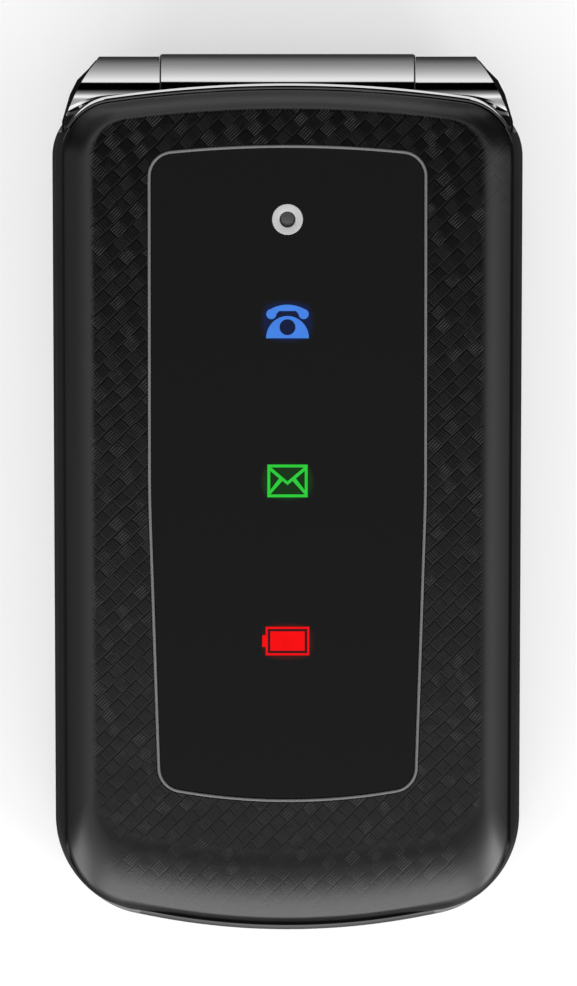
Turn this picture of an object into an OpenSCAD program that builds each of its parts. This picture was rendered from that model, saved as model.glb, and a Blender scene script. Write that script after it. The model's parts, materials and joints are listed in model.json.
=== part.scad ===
// A folding mobile phone, closed, lying on its back: +Z is the lid's outer face and +Y the hinge end.
// Millimetres. The origin is at the bottom centre of the closed phone.

/* [Overall] */
// Width across the keypad half
body_w = 56.3; // [52:0.1:64]
// Length from the back of the hinge barrel to the chin
body_l = 105; // [100:0.5:118]
// Thickness of the keypad half
base_t = 10.2; // [10:0.1:13]
// Thickness of the lid
lid_t = 8.8; // [8.4:0.1:11]
// Gap between the closed halves
fold_gap = 0.4; // [0.35:0.05:0.8]
// How much narrower each side is at the chin than at the hinge
side_taper = 0.5; // [0:0.1:2]

/* [Outline] */
// Radius of the chin's curve in plan
chin_arc_r = 84; // [60:1:160]
// Corner radius beside the chin
chin_corner_r = 10.2; // [6:0.1:14]
// Corner radius of the keypad half beside the hinge
base_corner_r = 6; // [3:0.1:9]
// Rim of the keypad half that shows beside the lid
rim_w = 1.05; // [0.5:0.05:2]
// Rim of the keypad half that shows at the chin
chin_rim_w = 0.7; // [0.4:0.05:2]
// How far the lid reaches past the hinge axis
lid_past_axis = 0.4; // [0:0.1:0.8]
// Radius of the curve of the lid's hinge end
lid_end_r = 260; // [200:5:500]
// Corner radius of the lid beside the hinge
lid_corner_r = 6.6; // [4:0.1:9]
// Corner radius of the lid beside the chin
lid_chin_corner_r = 9.5; // [6:0.1:13]

/* [Lid shell] */
// Wall of the lid's outer housing
lid_wall = 1.4; // [1:0.1:1.6]
// Drop of the bevel round the lid
bevel_drop = 2.4; // [1.5:0.1:3.5]
// Width of the bevel along the sides
bevel_side = 3.5; // [2:0.1:5]
// Width of the bevel at the hinge end
bevel_end = 2; // [1.5:0.1:4]
// Width of the roll-off at the chin
bevel_chin = 8.8; // [5:0.1:12]
// Thickness of the lid's inner housing
inner_t = 1.4; // [1.2:0.1:1.8]
// Height of the chrome trim along the lid's hinge end
edge_trim_h = 1.4; // [0.8:0.1:1.8]
// Width of that trim in plan
edge_trim_w = 0.75; // [0.4:0.05:0.9]

/* [Lid window] */
// Half width of the cover window at its upper part
window_half_w = 16.6; // [14:0.1:19]
// Half width of the cover window at its lower end
window_half_low = 15.35; // [13:0.1:18]
// Distance from the hinge axis to the window's upper edge
window_from_axis = 6.3; // [5.5:0.1:9]
// Distance from the chin to the window's lower edge
window_from_chin = 15.4; // [13:0.1:20]
// Corner radius of the cover window
window_corner_r = 2.9; // [1.5:0.1:5]
// Thickness of the cover window
window_t = 0.8; // [0.6:0.1:1]
// Width of the trim line round the window
window_trim_w = 0.4; // [0.3:0.05:1]
// Depth of the printed indicator marks
mark_t = 0.1; // [0.05:0.05:0.2]
// Distance from the window's upper edge to the camera
camera_from_window = 8.8; // [6:0.1:10]
// Distance from the camera to the first indicator mark
mark_from_camera = 12.2; // [9:0.1:14]
// Distance from the window's lower edge to the last indicator mark
mark_from_window = 19.2; // [12:0.1:24]
// Outside radius of the camera ring
camera_ring_r = 1.84; // [1.5:0.02:3]
// Inside radius of the camera ring
camera_ring_bore_r = 0.94; // [0.6:0.02:1.3]
// Size of the square camera module
camera_module_w = 7; // [5:0.1:9]

/* [Display] */
// Width of the display's visible area
display_w = 36.7; // [30:0.1:40]
// Height of the display's visible area
display_l = 49; // [40:0.1:56]
// Dark border of the display module round the visible area
display_border = 2.2; // [1.5:0.1:3]
// Thickness of the display module
display_t = 2.4; // [1.8:0.1:2.6]
// Strip beside the display that holds its driver
driver_l = 2.4; // [1.5:0.1:4]
// Thickness of the display window
display_window_t = 0.85; // [0.6:0.05:1]
// How far the display window reaches past the display module, along the phone
lens_margin = 3; // [2:0.1:4]
// How far the display window reaches past the display module, across the phone
lens_side_margin = 1.6; // [1:0.1:2]
// Distance from the chin to the display window
lens_from_chin = 14; // [12:0.1:16]

/* [Hinge] */
// Radius of the hinge barrel
barrel_r = 4.9; // [4.4:0.1:5.4]
// Length of the hinge barrel
barrel_l = 30.2; // [24:0.1:36]
// Radius of the chrome lugs
lug_r = 4.6; // [4.1:0.1:5.1]
// Gap between barrel and lug along the axis
lug_side_gap = 0.2; // [0.15:0.05:0.5]
// Gap round a turning hinge surface
hinge_gap = 0.3; // [0.25:0.05:0.6]
// Wall round the hinge hollows
hinge_wall = 1.1; // [0.8:0.1:1.4]
// Radius of the hinge cartridge
cartridge_r = 2.9; // [2.5:0.1:3.2]
// Length of the hinge cartridge
cartridge_l = 12; // [9:0.1:13]
// Radius of the pivot pin
pivot_r = 1.5; // [1.2:0.05:1.9]
// How far the pivot pin reaches into its lug
pivot_in_lug = 5; // [3:0.1:5.6]
// How far the pivot pin reaches into the barrel
pivot_in_barrel = 4; // [3:0.1:6]
// Width of the cam head's square end
cam_w = 3.4; // [2.8:0.1:3.8]
// Length of that square end
cam_stub_l = 4.5; // [3:0.1:5]
// How far the cam head reaches into the barrel
cam_in_barrel = 2.4; // [1.6:0.1:3]
// Radial clearance of the hinge's running fits
running_gap = 0.05; // [0.02:0.01:0.08]
// Width of the barrel's fixing plate
barrel_plate_w = 24; // [16:0.5:27]
// Thickness of the barrel's fixing plate
barrel_plate_t = 1.6; // [1.2:0.1:2]

/* [Keypad half shell] */
// Height of the rear housing
rear_h = 7; // [6.6:0.1:7.4]
// How far the rear housing's lower edge rolls in
back_roll = 3.4; // [2:0.1:5]
// Side wall of the keypad half
base_wall = 1.3; // [1:0.1:1.6]
// Floor of the rear housing
rear_floor = 2; // [1.8:0.1:2.4]
// Plate of the front housing
front_plate = 1.2; // [1:0.1:1.4]
// Depth of the recess that the keys stand in
keypad_well = 0.5; // [0.3:0.05:0.6]
// Rounding of the keypad half's upper edge
rim_round = 0.5; // [0.3:0.05:0.8]
// Height of the chrome chin trim
chin_trim_h = 2.6; // [1.5:0.1:2.8]
// Thickness of the chrome chin trim
chin_trim_t = 0.8; // [0.5:0.05:1]
// Thickness of the black ear outside the chrome lug
ear_t = 0.45; // [0.3:0.05:0.8]

/* [Battery bay] */
// Width of the battery
battery_w = 38.6; // [34:0.1:40]
// Distance from the chin to the battery
battery_from_chin = 15.1; // [14.5:0.1:22]
// Thickness of the battery
battery_t = 4.3; // [3.6:0.1:4.4]
// Clearance round the battery
battery_gap = 0.3; // [0.2:0.05:0.6]
// Wall of the battery bay
bay_wall = 1; // [0.8:0.1:1.2]
// Distance from the hinge axis to the battery
battery_from_axis = 34; // [32:0.1:38]
// Thickness of the battery cover
cover_t = 1.2; // [1:0.1:1.3]
// Distance from the side of the phone to the battery cover
cover_from_side = 5.15; // [4.15:0.05:6.2]
// Part of the battery cover that lies past the battery, toward the hinge
cover_past_battery = 2.6; // [1.5:0.1:4]
// Clearance round the battery cover
cover_gap = 0.15; // [0.1:0.05:0.3]
// Width of the battery cover's side tongues
tongue_w = 0.8; // [0.5:0.05:1]
// Thickness of the battery cover's side tongues
tongue_t = 0.5; // [0.4:0.05:0.6]

/* [Keys] */
// Distance from the side of the phone to the number keys
keys_from_side = 4.55; // [4:0.05:6]
// Distance from the hinge axis to the number keys
keys_from_axis = 39.8; // [39:0.1:42]
// Distance from the chin to the number keys
keys_from_chin = 11.9; // [11.6:0.1:14]
// Gap between number keys across the phone
key_gap_x = 1.4; // [1.2:0.1:2.4]
// Gap between rows of number keys
key_gap_y = 2; // [1.2:0.1:3]
// Corner radius of the keys
key_corner_r = 2.2; // [1:0.1:3]
// Radius of the number keys' crown
key_crown_r = 75; // [50:1:200]
// Height of the keys above the keypad well
key_rise = 0.6; // [0.5:0.05:0.65]
// Travel of a key
key_travel = 0.3; // [0.2:0.05:0.35]
// Clearance between a key and its hole
key_gap = 0.15; // [0.1:0.05:0.3]
// Width of the flange that holds a key in
flange_w = 0.45; // [0.3:0.05:0.5]
// Thickness of that flange
flange_t = 0.4; // [0.3:0.05:0.5]
// Outside radius of the navigation ring
nav_r = 9.5; // [8.5:0.1:9.8]
// Radius of the centre key
ok_r = 4.4; // [3.5:0.1:5]
// Radial width of the gap between centre key and ring
ok_gap = 0.25; // [0.15:0.05:0.4]
// Distance from the hinge axis to the navigation ring's centre
nav_from_axis = 23.6; // [22:0.1:24]
// Distance from the side of the phone to the soft, call and end keys
side_keys_from_side = 4.85; // [4.5:0.05:5.6]
// Distance from those keys to the navigation ring
side_keys_from_ring = 2.4; // [1.6:0.1:3.4]
// Length of the soft, call and end keys
side_key_l = 8.2; // [6:0.1:9]
// Distance between the rows of soft keys and of call and end keys
side_key_pitch = 11.2; // [10:0.1:12]
// Length of the volume key
volume_l = 17; // [12:0.1:22]
// Height of the volume key
volume_h = 1.5; // [1.2:0.05:1.6]
// Width of the keypad half's flat border beside the keypad recess
well_from_side = 2.5; // [2:0.1:3.5]
// Corner radius of the keypad recess
well_corner_r = 7; // [4:0.1:9]

/* [Boards and parts inside] */
// Thickness of the main board
board_t = 0.8; // [0.6:0.05:0.9]
// Thickness of the lid board
lid_board_t = 0.8; // [0.6:0.05:1]
// Radius of the headset plug's hole
jack_r = 1.8; // [1.78:0.01:1.9]
// Length of the headset plug's hole
jack_l = 12; // [11:0.1:13]
// Outside radius of the headset jack
jack_body_r = 2.35; // [2.2:0.05:2.4]
// Distance from the hinge axis to the headset jack and the micro-USB socket
side_port_from_axis = 20.6; // [20:0.1:22]
// Outside width of the micro-USB socket
usb_w = 7.6; // [7.4:0.05:8]
// Outside height of the micro-USB socket
usb_h = 2.75; // [2.6:0.05:2.9]
// Depth of the micro-USB socket
usb_l = 5.4; // [5:0.1:6]
// How far both sockets' mouths are set back from the side
port_set_back = 0.9; // [0.7:0.05:1.1]
// Width of the SIM holder
sim_w = 27; // [25:0.1:30]
// Length of the SIM holder
sim_l = 17; // [15:0.1:19]
// Width of the battery contact block
contact_w = 10; // [8.5:0.1:14]
// How far the loudspeaker lies to the left of the middle
speaker_left = 5; // [0:0.1:8]
// Radius of the microphone
mic_r = 1.8; // [1.4:0.05:2.2]
// Width of the loudspeaker
speaker_w = 16; // [12:0.1:17]
// Length of the loudspeaker
speaker_l = 11; // [9:0.1:12]
// Height of the loudspeaker
speaker_h = 3.4; // [2.5:0.1:4]
// Radius of the vibration motor
motor_r = 2; // [1.6:0.05:2.2]
// Length of the vibration motor's can
motor_l = 8; // [6:0.1:9]
// Space beside the vibration motor, and on each side of the antenna
low_bay_gap = 2.4; // [1.5:0.1:3.5]
// Length of the antenna
antenna_l = 6; // [4:0.1:6.4]
// Width of the lid board
lid_board_w = 38; // [30:0.5:42]
// How far the lid board reaches past the last indicator mark
lid_board_end = 12.1; // [4:0.1:14]
// Length of the lid's screws
lid_screw_l = 4.6; // [4:0.1:4.8]
// Radius of a screw head
screw_head_r = 1.6; // [1.3:0.05:1.8]
// Height of a screw head
screw_head_h = 0.7; // [0.5:0.05:0.8]
// Radius of a screw shank
screw_r = 0.9; // [0.7:0.05:1]
// Radial clearance of a screw in its hole
screw_gap = 0.06; // [0.04:0.01:0.15]

/* [Hidden] */
$fn = 48;
part_gap = 0.1;                 // between neighbouring pieces that are fastened together
cut = 1;                        // how far a cutting tool runs past a face
corner_steps = 7;               // flats along a moulded corner, and along the curved ends
chin_steps = 6;
end_steps = 4;
half_w = body_w / 2;
chin_y = -body_l / 2;
axis_y = body_l / 2 - barrel_r;
axis_z = base_t + fold_gap / 2;
lid_z = base_t + fold_gap;
lid_part_z = lid_z + inner_t;
top_z = lid_z + lid_t;
shoulder_z = top_z - bevel_drop;
barrel_x = barrel_l / 2;
lug_x = barrel_x + lug_side_gap;

// Outlines in plan. Each vertex is [x, y, corner radius, flats along the corner], counter-clockwise.
base_end_r = 1000;              // the keypad half's hinge end is almost straight
base_end_back = 0.3;            // how far that end stops short of the hinge axis

function unit(v) = v / norm(v);
function bisector(a, b, c) = unit(unit(a - b) + unit(c - b));
function half_angle(a, b, c) = acos(unit(a - b) * unit(c - b)) / 2;
function plan(v) = [v.x, v.y];
function before(list, i) = plan(list[(i + len(list) - 1) % len(list)]);
function after(list, i) = plan(list[(i + 1) % len(list)]);

// The arc of a corner at b between neighbours a and c, tangent to both sides.
function corner(a, b, c, r, steps) =
    let (
        half = half_angle(a, b, c),
        centre = b + bisector(a, b, c) * r / sin(half),
        start = b + unit(a - b) * r / tan(half) - centre,
        first = atan2(start.y, start.x),
        turn = 180 - 2 * half
    )
    [for (i = [0 : steps])
        centre + r * [cos(first + turn * i / steps), sin(first + turn * i / steps)]];

function outline(list) =
    [for (i = [0 : len(list) - 1])
        each corner(before(list, i), plan(list[i]), after(list, i), list[i][2], list[i][3])];

// The same outline moved inward by d, or outward where d is negative.
function inset(list, d) =
    [for (i = [0 : len(list) - 1])
        let (
            a = before(list, i),
            b = plan(list[i]),
            c = after(list, i),
            moved = b + bisector(a, b, c) * d / sin(half_angle(a, b, c))
        )
        [moved.x, moved.y, list[i][2] - d, list[i][3]]];

// A full outline from its right half, which starts and ends on the middle line.
function both_sides(half) =
    concat(half, [for (i = [len(half) - 2 : -1 : 1]) [-half[i].x, half[i].y, half[i][2], half[i][3]]]);

// How far an arc of radius r stops short of the vertex where its two tangents meet.
function crown(r, slope) = r * (1 / cos(slope) - 1);

// The slope that an end's arc has reached where the corner beside it starts.
function end_slope(side, corner_r, end_r) = asin((side - 1.01 * corner_r) / end_r);

// A half of the phone in plan: its half width at the hinge, then its chin and hinge ends with their corners.
function shell_outline(side, chin, chin_corner, end, end_r, end_corner) =
    let (
        low_side = side - side_taper,
        chin_slope = end_slope(low_side, chin_corner, chin_arc_r),
        slope = end_slope(side, end_corner, end_r),
        low = chin - crown(chin_arc_r, chin_slope),
        high = end + crown(end_r, slope)
    )
    both_sides([
        [0, low, chin_arc_r, chin_steps],
        [low_side, low + low_side * tan(chin_slope), chin_corner, corner_steps],
        [side, high - side * tan(slope), end_corner, corner_steps],
        [0, high, end_r, end_steps]
    ]);

base_outline = shell_outline(half_w, chin_y, chin_corner_r,
    axis_y - base_end_back, base_end_r, base_corner_r);
lid_outline = shell_outline(half_w - rim_w, chin_y + chin_rim_w, lid_chin_corner_r,
    axis_y + lid_past_axis, lid_end_r, lid_corner_r);
// The flat top of the lid, inside the bevel
lid_flat = shell_outline(half_w - rim_w - bevel_side, chin_y + chin_rim_w + bevel_chin,
    lid_chin_corner_r - bevel_side, axis_y + lid_past_axis - bevel_end, lid_end_r, lid_corner_r - bevel_end);

window_top_y = axis_y - window_from_axis;
window_low_y = chin_y + window_from_chin;
window_end_r = 139;
window_end_slope = end_slope(window_half_w, window_corner_r, window_end_r);
window_chin_r = 75.6;
window_chin_slope = end_slope(window_half_low, window_corner_r, window_chin_r);
window_waist_r = 200;
window_outline = both_sides([
    [0, window_low_y - crown(window_chin_r, window_chin_slope), window_chin_r, chin_steps],
    [window_half_low,
        window_low_y - crown(window_chin_r, window_chin_slope) + window_half_low * tan(window_chin_slope),
        window_corner_r, 5],
    [window_half_w - 0.05, (window_top_y + window_low_y) / 2 - 3, window_waist_r, 2],
    [window_half_w,
        window_top_y + crown(window_end_r, window_end_slope) - window_half_w * tan(window_end_slope),
        window_corner_r, 5],
    [0, window_top_y + crown(window_end_r, window_end_slope), window_end_r, 3]
]);

// Heights in the keypad half
bay_roof_z = rear_floor - 0.65 + battery_t + battery_gap;
battery_z = cover_t + part_gap + 0.05;
board_z = rear_h - 0.1;
mat_z = board_z + board_t;
mat_t = 0.3;
dome_h = 0.1;
plate_z = base_t - front_plate;
well_z = base_t - keypad_well;
key_top_z = well_z + key_rise;
flange_z = plate_z - flange_t - part_gap;
key_foot_z = mat_z + mat_t + dome_h + key_travel + 0.05;

tongue_z = cover_t - tongue_t - 0.2;
battery_top_y = axis_y - battery_from_axis;
battery_l = battery_top_y - chin_y - battery_from_chin;
battery_y = battery_top_y - battery_l / 2;
low_bay_y = chin_y + 0.6 * battery_from_chin;   // middle of the space between battery bay and chin
cover_w = body_w - 2 * cover_from_side;
cover_top_y = battery_top_y + cover_past_battery;
port_y = axis_y - side_port_from_axis;
port_z = board_z - jack_body_r - 0.1;
key_pitch_x = (body_w - 2 * keys_from_side + key_gap_x) / 3;
key_pitch_y = (axis_y - keys_from_axis - chin_y - keys_from_chin + key_gap_y) / 4;
key_w = key_pitch_x - key_gap_x;
key_l = key_pitch_y - key_gap_y;
first_row_y = axis_y - keys_from_axis - key_l / 2;
nav_y = axis_y - nav_from_axis;
side_key_w = half_w - side_keys_from_side - nav_r - side_keys_from_ring;
side_key_x = half_w - side_keys_from_side - side_key_w / 2;
soft_key_y = nav_y + side_key_pitch / 2 + 0.6;
call_key_y = soft_key_y - side_key_pitch;
volume_y = first_row_y + 2;
volume_z = (rear_h + plate_z) / 2;

base_screw_places = [[cover_w / 2 - 0.6, axis_y - 10.3], [cover_w / 2 - 2, chin_y + 9.2]];
lid_screw_places = [[half_w - rim_w - 3.7, axis_y - 14.6], [half_w - rim_w - 4.3, chin_y + 11.6]];
boss_r = screw_head_r + 0.9;

module_w = display_w + 2 * display_border;
module_l = display_l + 2 * display_border + driver_l;
lens_w = module_w + 2 * lens_side_margin;
lens_l = module_l + 2 * lens_margin;
lens_y = chin_y + lens_from_chin + lens_l / 2;
display_y = lens_y - 0.4;
display_window_z = lid_z + 0.15;
lens_ledge_z = display_window_z + display_window_t + 0.05;
module_z = lid_part_z + part_gap / 2;
lid_board_z = module_z + display_t + 0.2;
earpiece_y = chin_y + 7.2;
camera_y = window_top_y - camera_from_window;
call_y = camera_y - mark_from_camera;
mark_pitch = (call_y - window_low_y - mark_from_window) / 2;
mark_z = top_z - mark_t;

black = [0.08, 0.08, 0.09];
dark_grey = [0.2, 0.2, 0.21];
chrome = [0.82, 0.82, 0.84];
steel = [0.6, 0.6, 0.62];
green_board = [0.05, 0.3, 0.15];

// ---- Shapes used by several pieces ----

// A closed solid through rings of equal length, from the lowest to the highest.
module loft(rings) {
    n = len(rings[0]);
    last = (len(rings) - 1) * n;
    points = [for (ring = rings) each ring];
    low_face = [for (i = [0 : n - 1]) i];
    high_face = [for (i = [n - 1 : -1 : 0]) last + i];
    sides = [for (k = [0 : len(rings) - 2], i = [0 : n - 1])
        let (
            a = k * n + i,
            b = k * n + (i + 1) % n
        )
        each [[a, a + n, b + n], [a, b + n, b]]];
    polyhedron(points, concat([low_face, high_face], sides), convexity = 8);
}

function ring(points, z) = [for (p = points) [p.x, p.y, z]];
function blend(a, b, t) = [for (i = [0 : len(a) - 1]) a[i] + (b[i] - a[i]) * t];

// A prism of an outline between two heights.
module slab(list, z0, z1) {
    translate([0, 0, z0])
        linear_extrude(z1 - z0)
            polygon(outline(list));
}

// A rectangle with true round corners.
module round_rect(w, l, r) {
    square([w - 2 * r, l], center = true);
    square([w, l - 2 * r], center = true);
    for (sx = [-1, 1], sy = [-1, 1])
        translate([sx * (w / 2 - r), sy * (l / 2 - r)])
            circle(r);
}

// A rod along the hinge axis from x0 to x1.
module hinge_rod(r, x0, x1) {
    translate([x0, axis_y, axis_z])
        rotate([0, 90, 0])
            cylinder(r = r, h = x1 - x0, $fn = 96);
}

module box(x0, x1, y0, y1, z0, z1) {
    translate([x0, y0, z0])
        cube([x1 - x0, y1 - y0, z1 - z0]);
}

module upright(r, place, z0, z1) {
    translate([place.x, place.y, z0])
        cylinder(r = r, h = z1 - z0);
}

// Both sides of the phone.
module mirrored() {
    children();
    mirror([1, 0, 0])
        children();
}

// A screw with its head down at z and its shank upward, cross recess in the head.
module screw(place, z, l) {
    difference() {
        union() {
            upright(screw_head_r, place, z, z + screw_head_h);
            upright(screw_r, place, z, z + l);
        }
        for (turn = [0, 90])
            translate([place.x, place.y, z])
                rotate(turn)
                    cube([screw_head_r, 0.35, screw_head_h], center = true);
    }
}

// ---- Keypad half ----

// The roll of the rear housing's lower edge: inset at a share t of the height.
function roll(t) = back_roll * (1 - sqrt(1 - pow(1 - t, 2)));
function rear_ring(t, d) = ring(outline(inset(base_outline, roll(t) + d)), rear_h * t);
roll_shares = [0, 0.06, 0.2, 0.45, 1];

// The rear housing is one skin: up its outside, over its rim and down its inside to the floor.
module rear_shell() {
    floor_share = rear_floor / rear_h;
    loft(concat(
        [for (t = roll_shares) rear_ring(t, 0)],
        [for (t = [1, 0.6, 0.4, floor_share]) rear_ring(t, base_wall)]
    ));
}

// The hollow that the turning barrel and lid need at the hinge end of the keypad half.
module barrel_sweep() {
    hinge_rod(barrel_r + hinge_gap, -lug_x, lug_x);
}

module lug_seat() {
    hinge_rod(lug_r + running_gap, -half_w - cut, half_w + cut);
}

module battery_pocket() {
    translate([0, battery_y, -cut])
        linear_extrude(bay_roof_z + cut)
            round_rect(battery_w + 2 * battery_gap, battery_l + 2 * battery_gap, 1.2);
}

sim_y = battery_y + 8;
speaker_x = -speaker_left;
speaker_slot_pitch = 2.2;
speaker_y = cover_top_y + speaker_l / 2 + 3.4;

module sim_window() {
    box(-sim_w / 2 - battery_gap, sim_w / 2 + battery_gap,
        sim_y - sim_l / 2 - battery_gap, sim_y + sim_l / 2 + battery_gap, bay_roof_z - cut, rear_h + cut);
}

module contact_notch() {
    box(-contact_w / 2 - battery_gap, contact_w / 2 + battery_gap,
        battery_top_y - cut, battery_top_y + bay_wall + 2, rear_floor + 0.2, rear_h + cut);
}

// The recess that the battery cover slides in, with a groove for each tongue.
module cover_recess() {
    box(-cover_w / 2 - cover_gap, cover_w / 2 + cover_gap, chin_y - cut, cover_top_y + cover_gap,
        -cut, cover_t + part_gap);
    box(-cover_w / 2 - tongue_w - cover_gap, cover_w / 2 + tongue_w + cover_gap,
        chin_y - cut, cover_top_y + cover_gap, tongue_z - cover_gap, tongue_z + tongue_t + cover_gap);
}

module speaker_slots() {
    for (i = [-2 : 2])
        translate([speaker_x + i * speaker_slot_pitch, speaker_y, -cut])
            linear_extrude(rear_floor + 2 * cut)
                round_rect(1, 6 - abs(i), 0.45);
}

module usb_hole(gap) {
    translate([-half_w - cut, port_y, board_z - usb_h / 2])
        rotate([90, 0, 90])
            linear_extrude(usb_l + cut + 3)
                round_rect(usb_w + 2 * gap, usb_h + 2 * gap, 0.9);
}

module jack_hole() {
    translate([half_w - 4, port_y, port_z])
        rotate([0, 90, 0])
            cylinder(r = jack_body_r + 0.15, h = 4 + cut);
}

module rear_housing() {
    bay_x = battery_w / 2 + battery_gap + bay_wall;
    bay_y = battery_l / 2 + battery_gap + bay_wall;
    color(black)
        difference() {
            union() {
                rear_shell();
                intersection() {
                    hinge_rod(barrel_r + hinge_gap + hinge_wall, -lug_x - 2, lug_x + 2);
                    box(-half_w, half_w, axis_y - body_l / 4, axis_y - base_end_back - 0.6, 0, rear_h);
                }
                box(-bay_x, bay_x, battery_y - bay_y, battery_y + bay_y, rear_floor - 0.5, board_z);
                mirrored()
                    for (place = base_screw_places)
                        upright(boss_r, place, rear_floor - 0.5, board_z);
            }
            battery_pocket();
            sim_window();
            contact_notch();
            cover_recess();
            speaker_slots();
            usb_hole(0.25);
            jack_hole();
            barrel_sweep();
            lug_seat();
            mirrored()
                for (place = base_screw_places) {
                    upright(screw_head_r + screw_gap, place, -cut, rear_floor + screw_head_h);
                    upright(screw_r + screw_gap, place, -cut, rear_h + cut);
                }
        }
}

// The front housing's skin: its ceiling, down its inside, under its rim and up to its keypad face.
module front_shell() {
    inside = outline(inset(base_outline, base_wall));
    loft(concat(
        [ring(inside, plate_z), ring(inside, rear_h), ring(outline(base_outline), rear_h)],
        [for (a = [0, 45, 90])
            ring(outline(inset(base_outline, rim_round * (1 - cos(a)))), base_t - rim_round * (1 - sin(a)))]
    ));
}

// Plan of the chrome lug on the right side, cut from the hinge axis rod.
lug_reach = 8;                  // how far the lug reaches back from the hinge axis
// The lug's foot under the keypad plate: its distance from the barrel, from the side and from the axis
lug_foot_in = 1.4;
lug_foot_from_side = 4.4;
lug_foot_front = 3.6;
lug_tip_y = axis_y + lug_r + 0.4;
lug_end_x = half_w - 5.45;      // where the slanted end starts at the back
function lug_plan(grow) = [
    [lug_x, axis_y - lug_reach],
    [half_w - 1.4 + grow, axis_y - lug_reach],
    [half_w - 1.4 + grow, axis_y - 3.4],
    [half_w - 1.75 + grow, axis_y - 2.4],
    [half_w - 2.65 + grow, axis_y - 0.2],
    [half_w - 3.5 + grow, axis_y + 1.5],
    [half_w - 4.35 + grow / 2, axis_y + 2.9],
    [lug_end_x, lug_tip_y],
    [lug_x, lug_tip_y]
];

module lug_prism(grow) {
    translate([0, 0, axis_z - lug_r - cut])
        linear_extrude(2 * lug_r + 2 * cut)
            polygon(lug_plan(grow));
}

// The black ear of the front housing outside each lug.
module ear() {
    intersection() {
        hinge_rod(lug_r + 0.1, lug_x, half_w);
        difference() {
            lug_prism(ear_t);
            lug_prism(running_gap);
        }
    }
}

module key_hole(w, l, r) {
    translate([0, 0, plate_z - cut])
        linear_extrude(front_plate + 2 * cut)
            round_rect(w + 2 * key_gap, l + 2 * key_gap, r + key_gap);
}

function key_place(i) = [(i % 3 - 1) * key_pitch_x, first_row_y - floor(i / 3) * key_pitch_y];

module keypad_holes() {
    for (i = [0 : 11])
        translate(key_place(i))
            key_hole(key_w, key_l, key_corner_r);
    for (sx = [-1, 1], y = [soft_key_y, call_key_y])
        translate([sx * side_key_x, y])
            key_hole(side_key_w, side_key_l, key_corner_r);
    upright(nav_r + key_gap, [0, nav_y], plate_z - cut, base_t + cut);
}

module keypad_well() {
    low = mic_place.y + 1.6;
    high = nav_y + nav_r + 3.4;
    translate([0, (low + high) / 2, well_z])
        linear_extrude(keypad_well + cut)
            round_rect(body_w - 2 * well_from_side, high - low, well_corner_r);
}

// The strip round the chin, and with a gap the seat that is cut for it.
module chin_strip(gap) {
    middle = (rear_h + base_t) / 2 - 0.1;
    reach = chin_trim_h / 2 + gap;
    difference() {
        slab(inset(base_outline, gap > 0 ? -cut : 0), middle - reach, middle + reach);
        slab(inset(base_outline, chin_trim_t + gap), rear_h - cut, top_z);
        box(-body_w, body_w, chin_y + 7 + gap, axis_y + 9, 0, top_z);
    }
}

mic_place = [0, chin_y + 6];
mic_hole_r = 0.5;

// The front housing before the hinge, the chin trim and the volume key are let into it.
module keypad_face() {
    difference() {
        union() {
            front_shell();
            intersection() {
                hinge_rod(barrel_r + hinge_gap + hinge_wall, -lug_x, lug_x);
                box(-half_w, half_w, axis_y - body_l / 4, axis_y - base_end_back - 0.6,
                    rear_h, plate_z + 0.3);
            }
            mirrored()
                for (place = base_screw_places)
                    upright(boss_r - 0.4, place, rear_h, plate_z + 0.3);
        }
        keypad_well();
        keypad_holes();
    }
}

module front_housing() {
    color(dark_grey) {
        difference() {
            keypad_face();
            chin_strip(running_gap);
            barrel_sweep();
            lug_seat();
            volume_opening();
            upright(mic_hole_r, mic_place, plate_z - cut, base_t + cut);
            mirrored()
                for (place = base_screw_places)
                    upright(screw_r + screw_gap, place, rear_h - cut, plate_z + 0.1);
        }
        mirrored()
            ear();
    }
}

module chin_trim() {
    color(chrome)
        chin_strip(0);
}

module lug_body() {
    intersection() {
        hinge_rod(lug_r, lug_x, half_w);
        lug_prism(0);
    }
    box(lug_x + lug_foot_in, half_w - lug_foot_from_side, axis_y - lug_reach + 0.3, axis_y - lug_foot_front,
        mat_z + 0.1, plate_z - part_gap);
}

module hinge_lug_left() {
    color(chrome)
        mirror([1, 0, 0])
            difference() {
                lug_body();
                cam_stub(part_gap / 2);
            }
}

module hinge_lug_right() {
    color(chrome)
        difference() {
            lug_body();
            hinge_rod(pivot_r + running_gap, lug_x - cut, lug_x + pivot_in_lug + part_gap);
        }
}

cam_neck_r = cam_w / 2 - 0.2;    // the round neck that turns in the cartridge
// The cam head's square end in its lug, drawn on the right side.
module cam_stub(gap) {
    translate([lug_x - part_gap - gap, axis_y - cam_w / 2 - gap, axis_z - cam_w / 2 - gap])
        cube([cam_stub_l + 2 * gap, cam_w + 2 * gap, cam_w + 2 * gap]);
}

module hinge_cam_head() {
    color(steel)
        mirror([1, 0, 0]) {
            cam_stub(0);
            hinge_rod(cam_neck_r, barrel_x - cam_in_barrel, lug_x);
        }
}

module hinge_pivot_pin() {
    color(steel)
        hinge_rod(pivot_r, barrel_x - pivot_in_barrel, lug_x + pivot_in_lug);
}

module main_board() {
    color(green_board)
        difference() {
            slab(inset(shell_outline(half_w, chin_y, chin_corner_r, axis_y - 9, base_end_r, base_corner_r),
                base_wall + 0.4), board_z, board_z + board_t);
            mirrored()
                for (place = base_screw_places)
                    upright(boss_r + 0.3, place, board_z - cut, board_z + board_t + cut);
            box(-half_w, volume_face_x + base_wall + 1.2,
                volume_y - volume_l / 2 - 1, volume_y + volume_l / 2 + 1, board_z - cut, mat_z + cut);
        }
}

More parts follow.
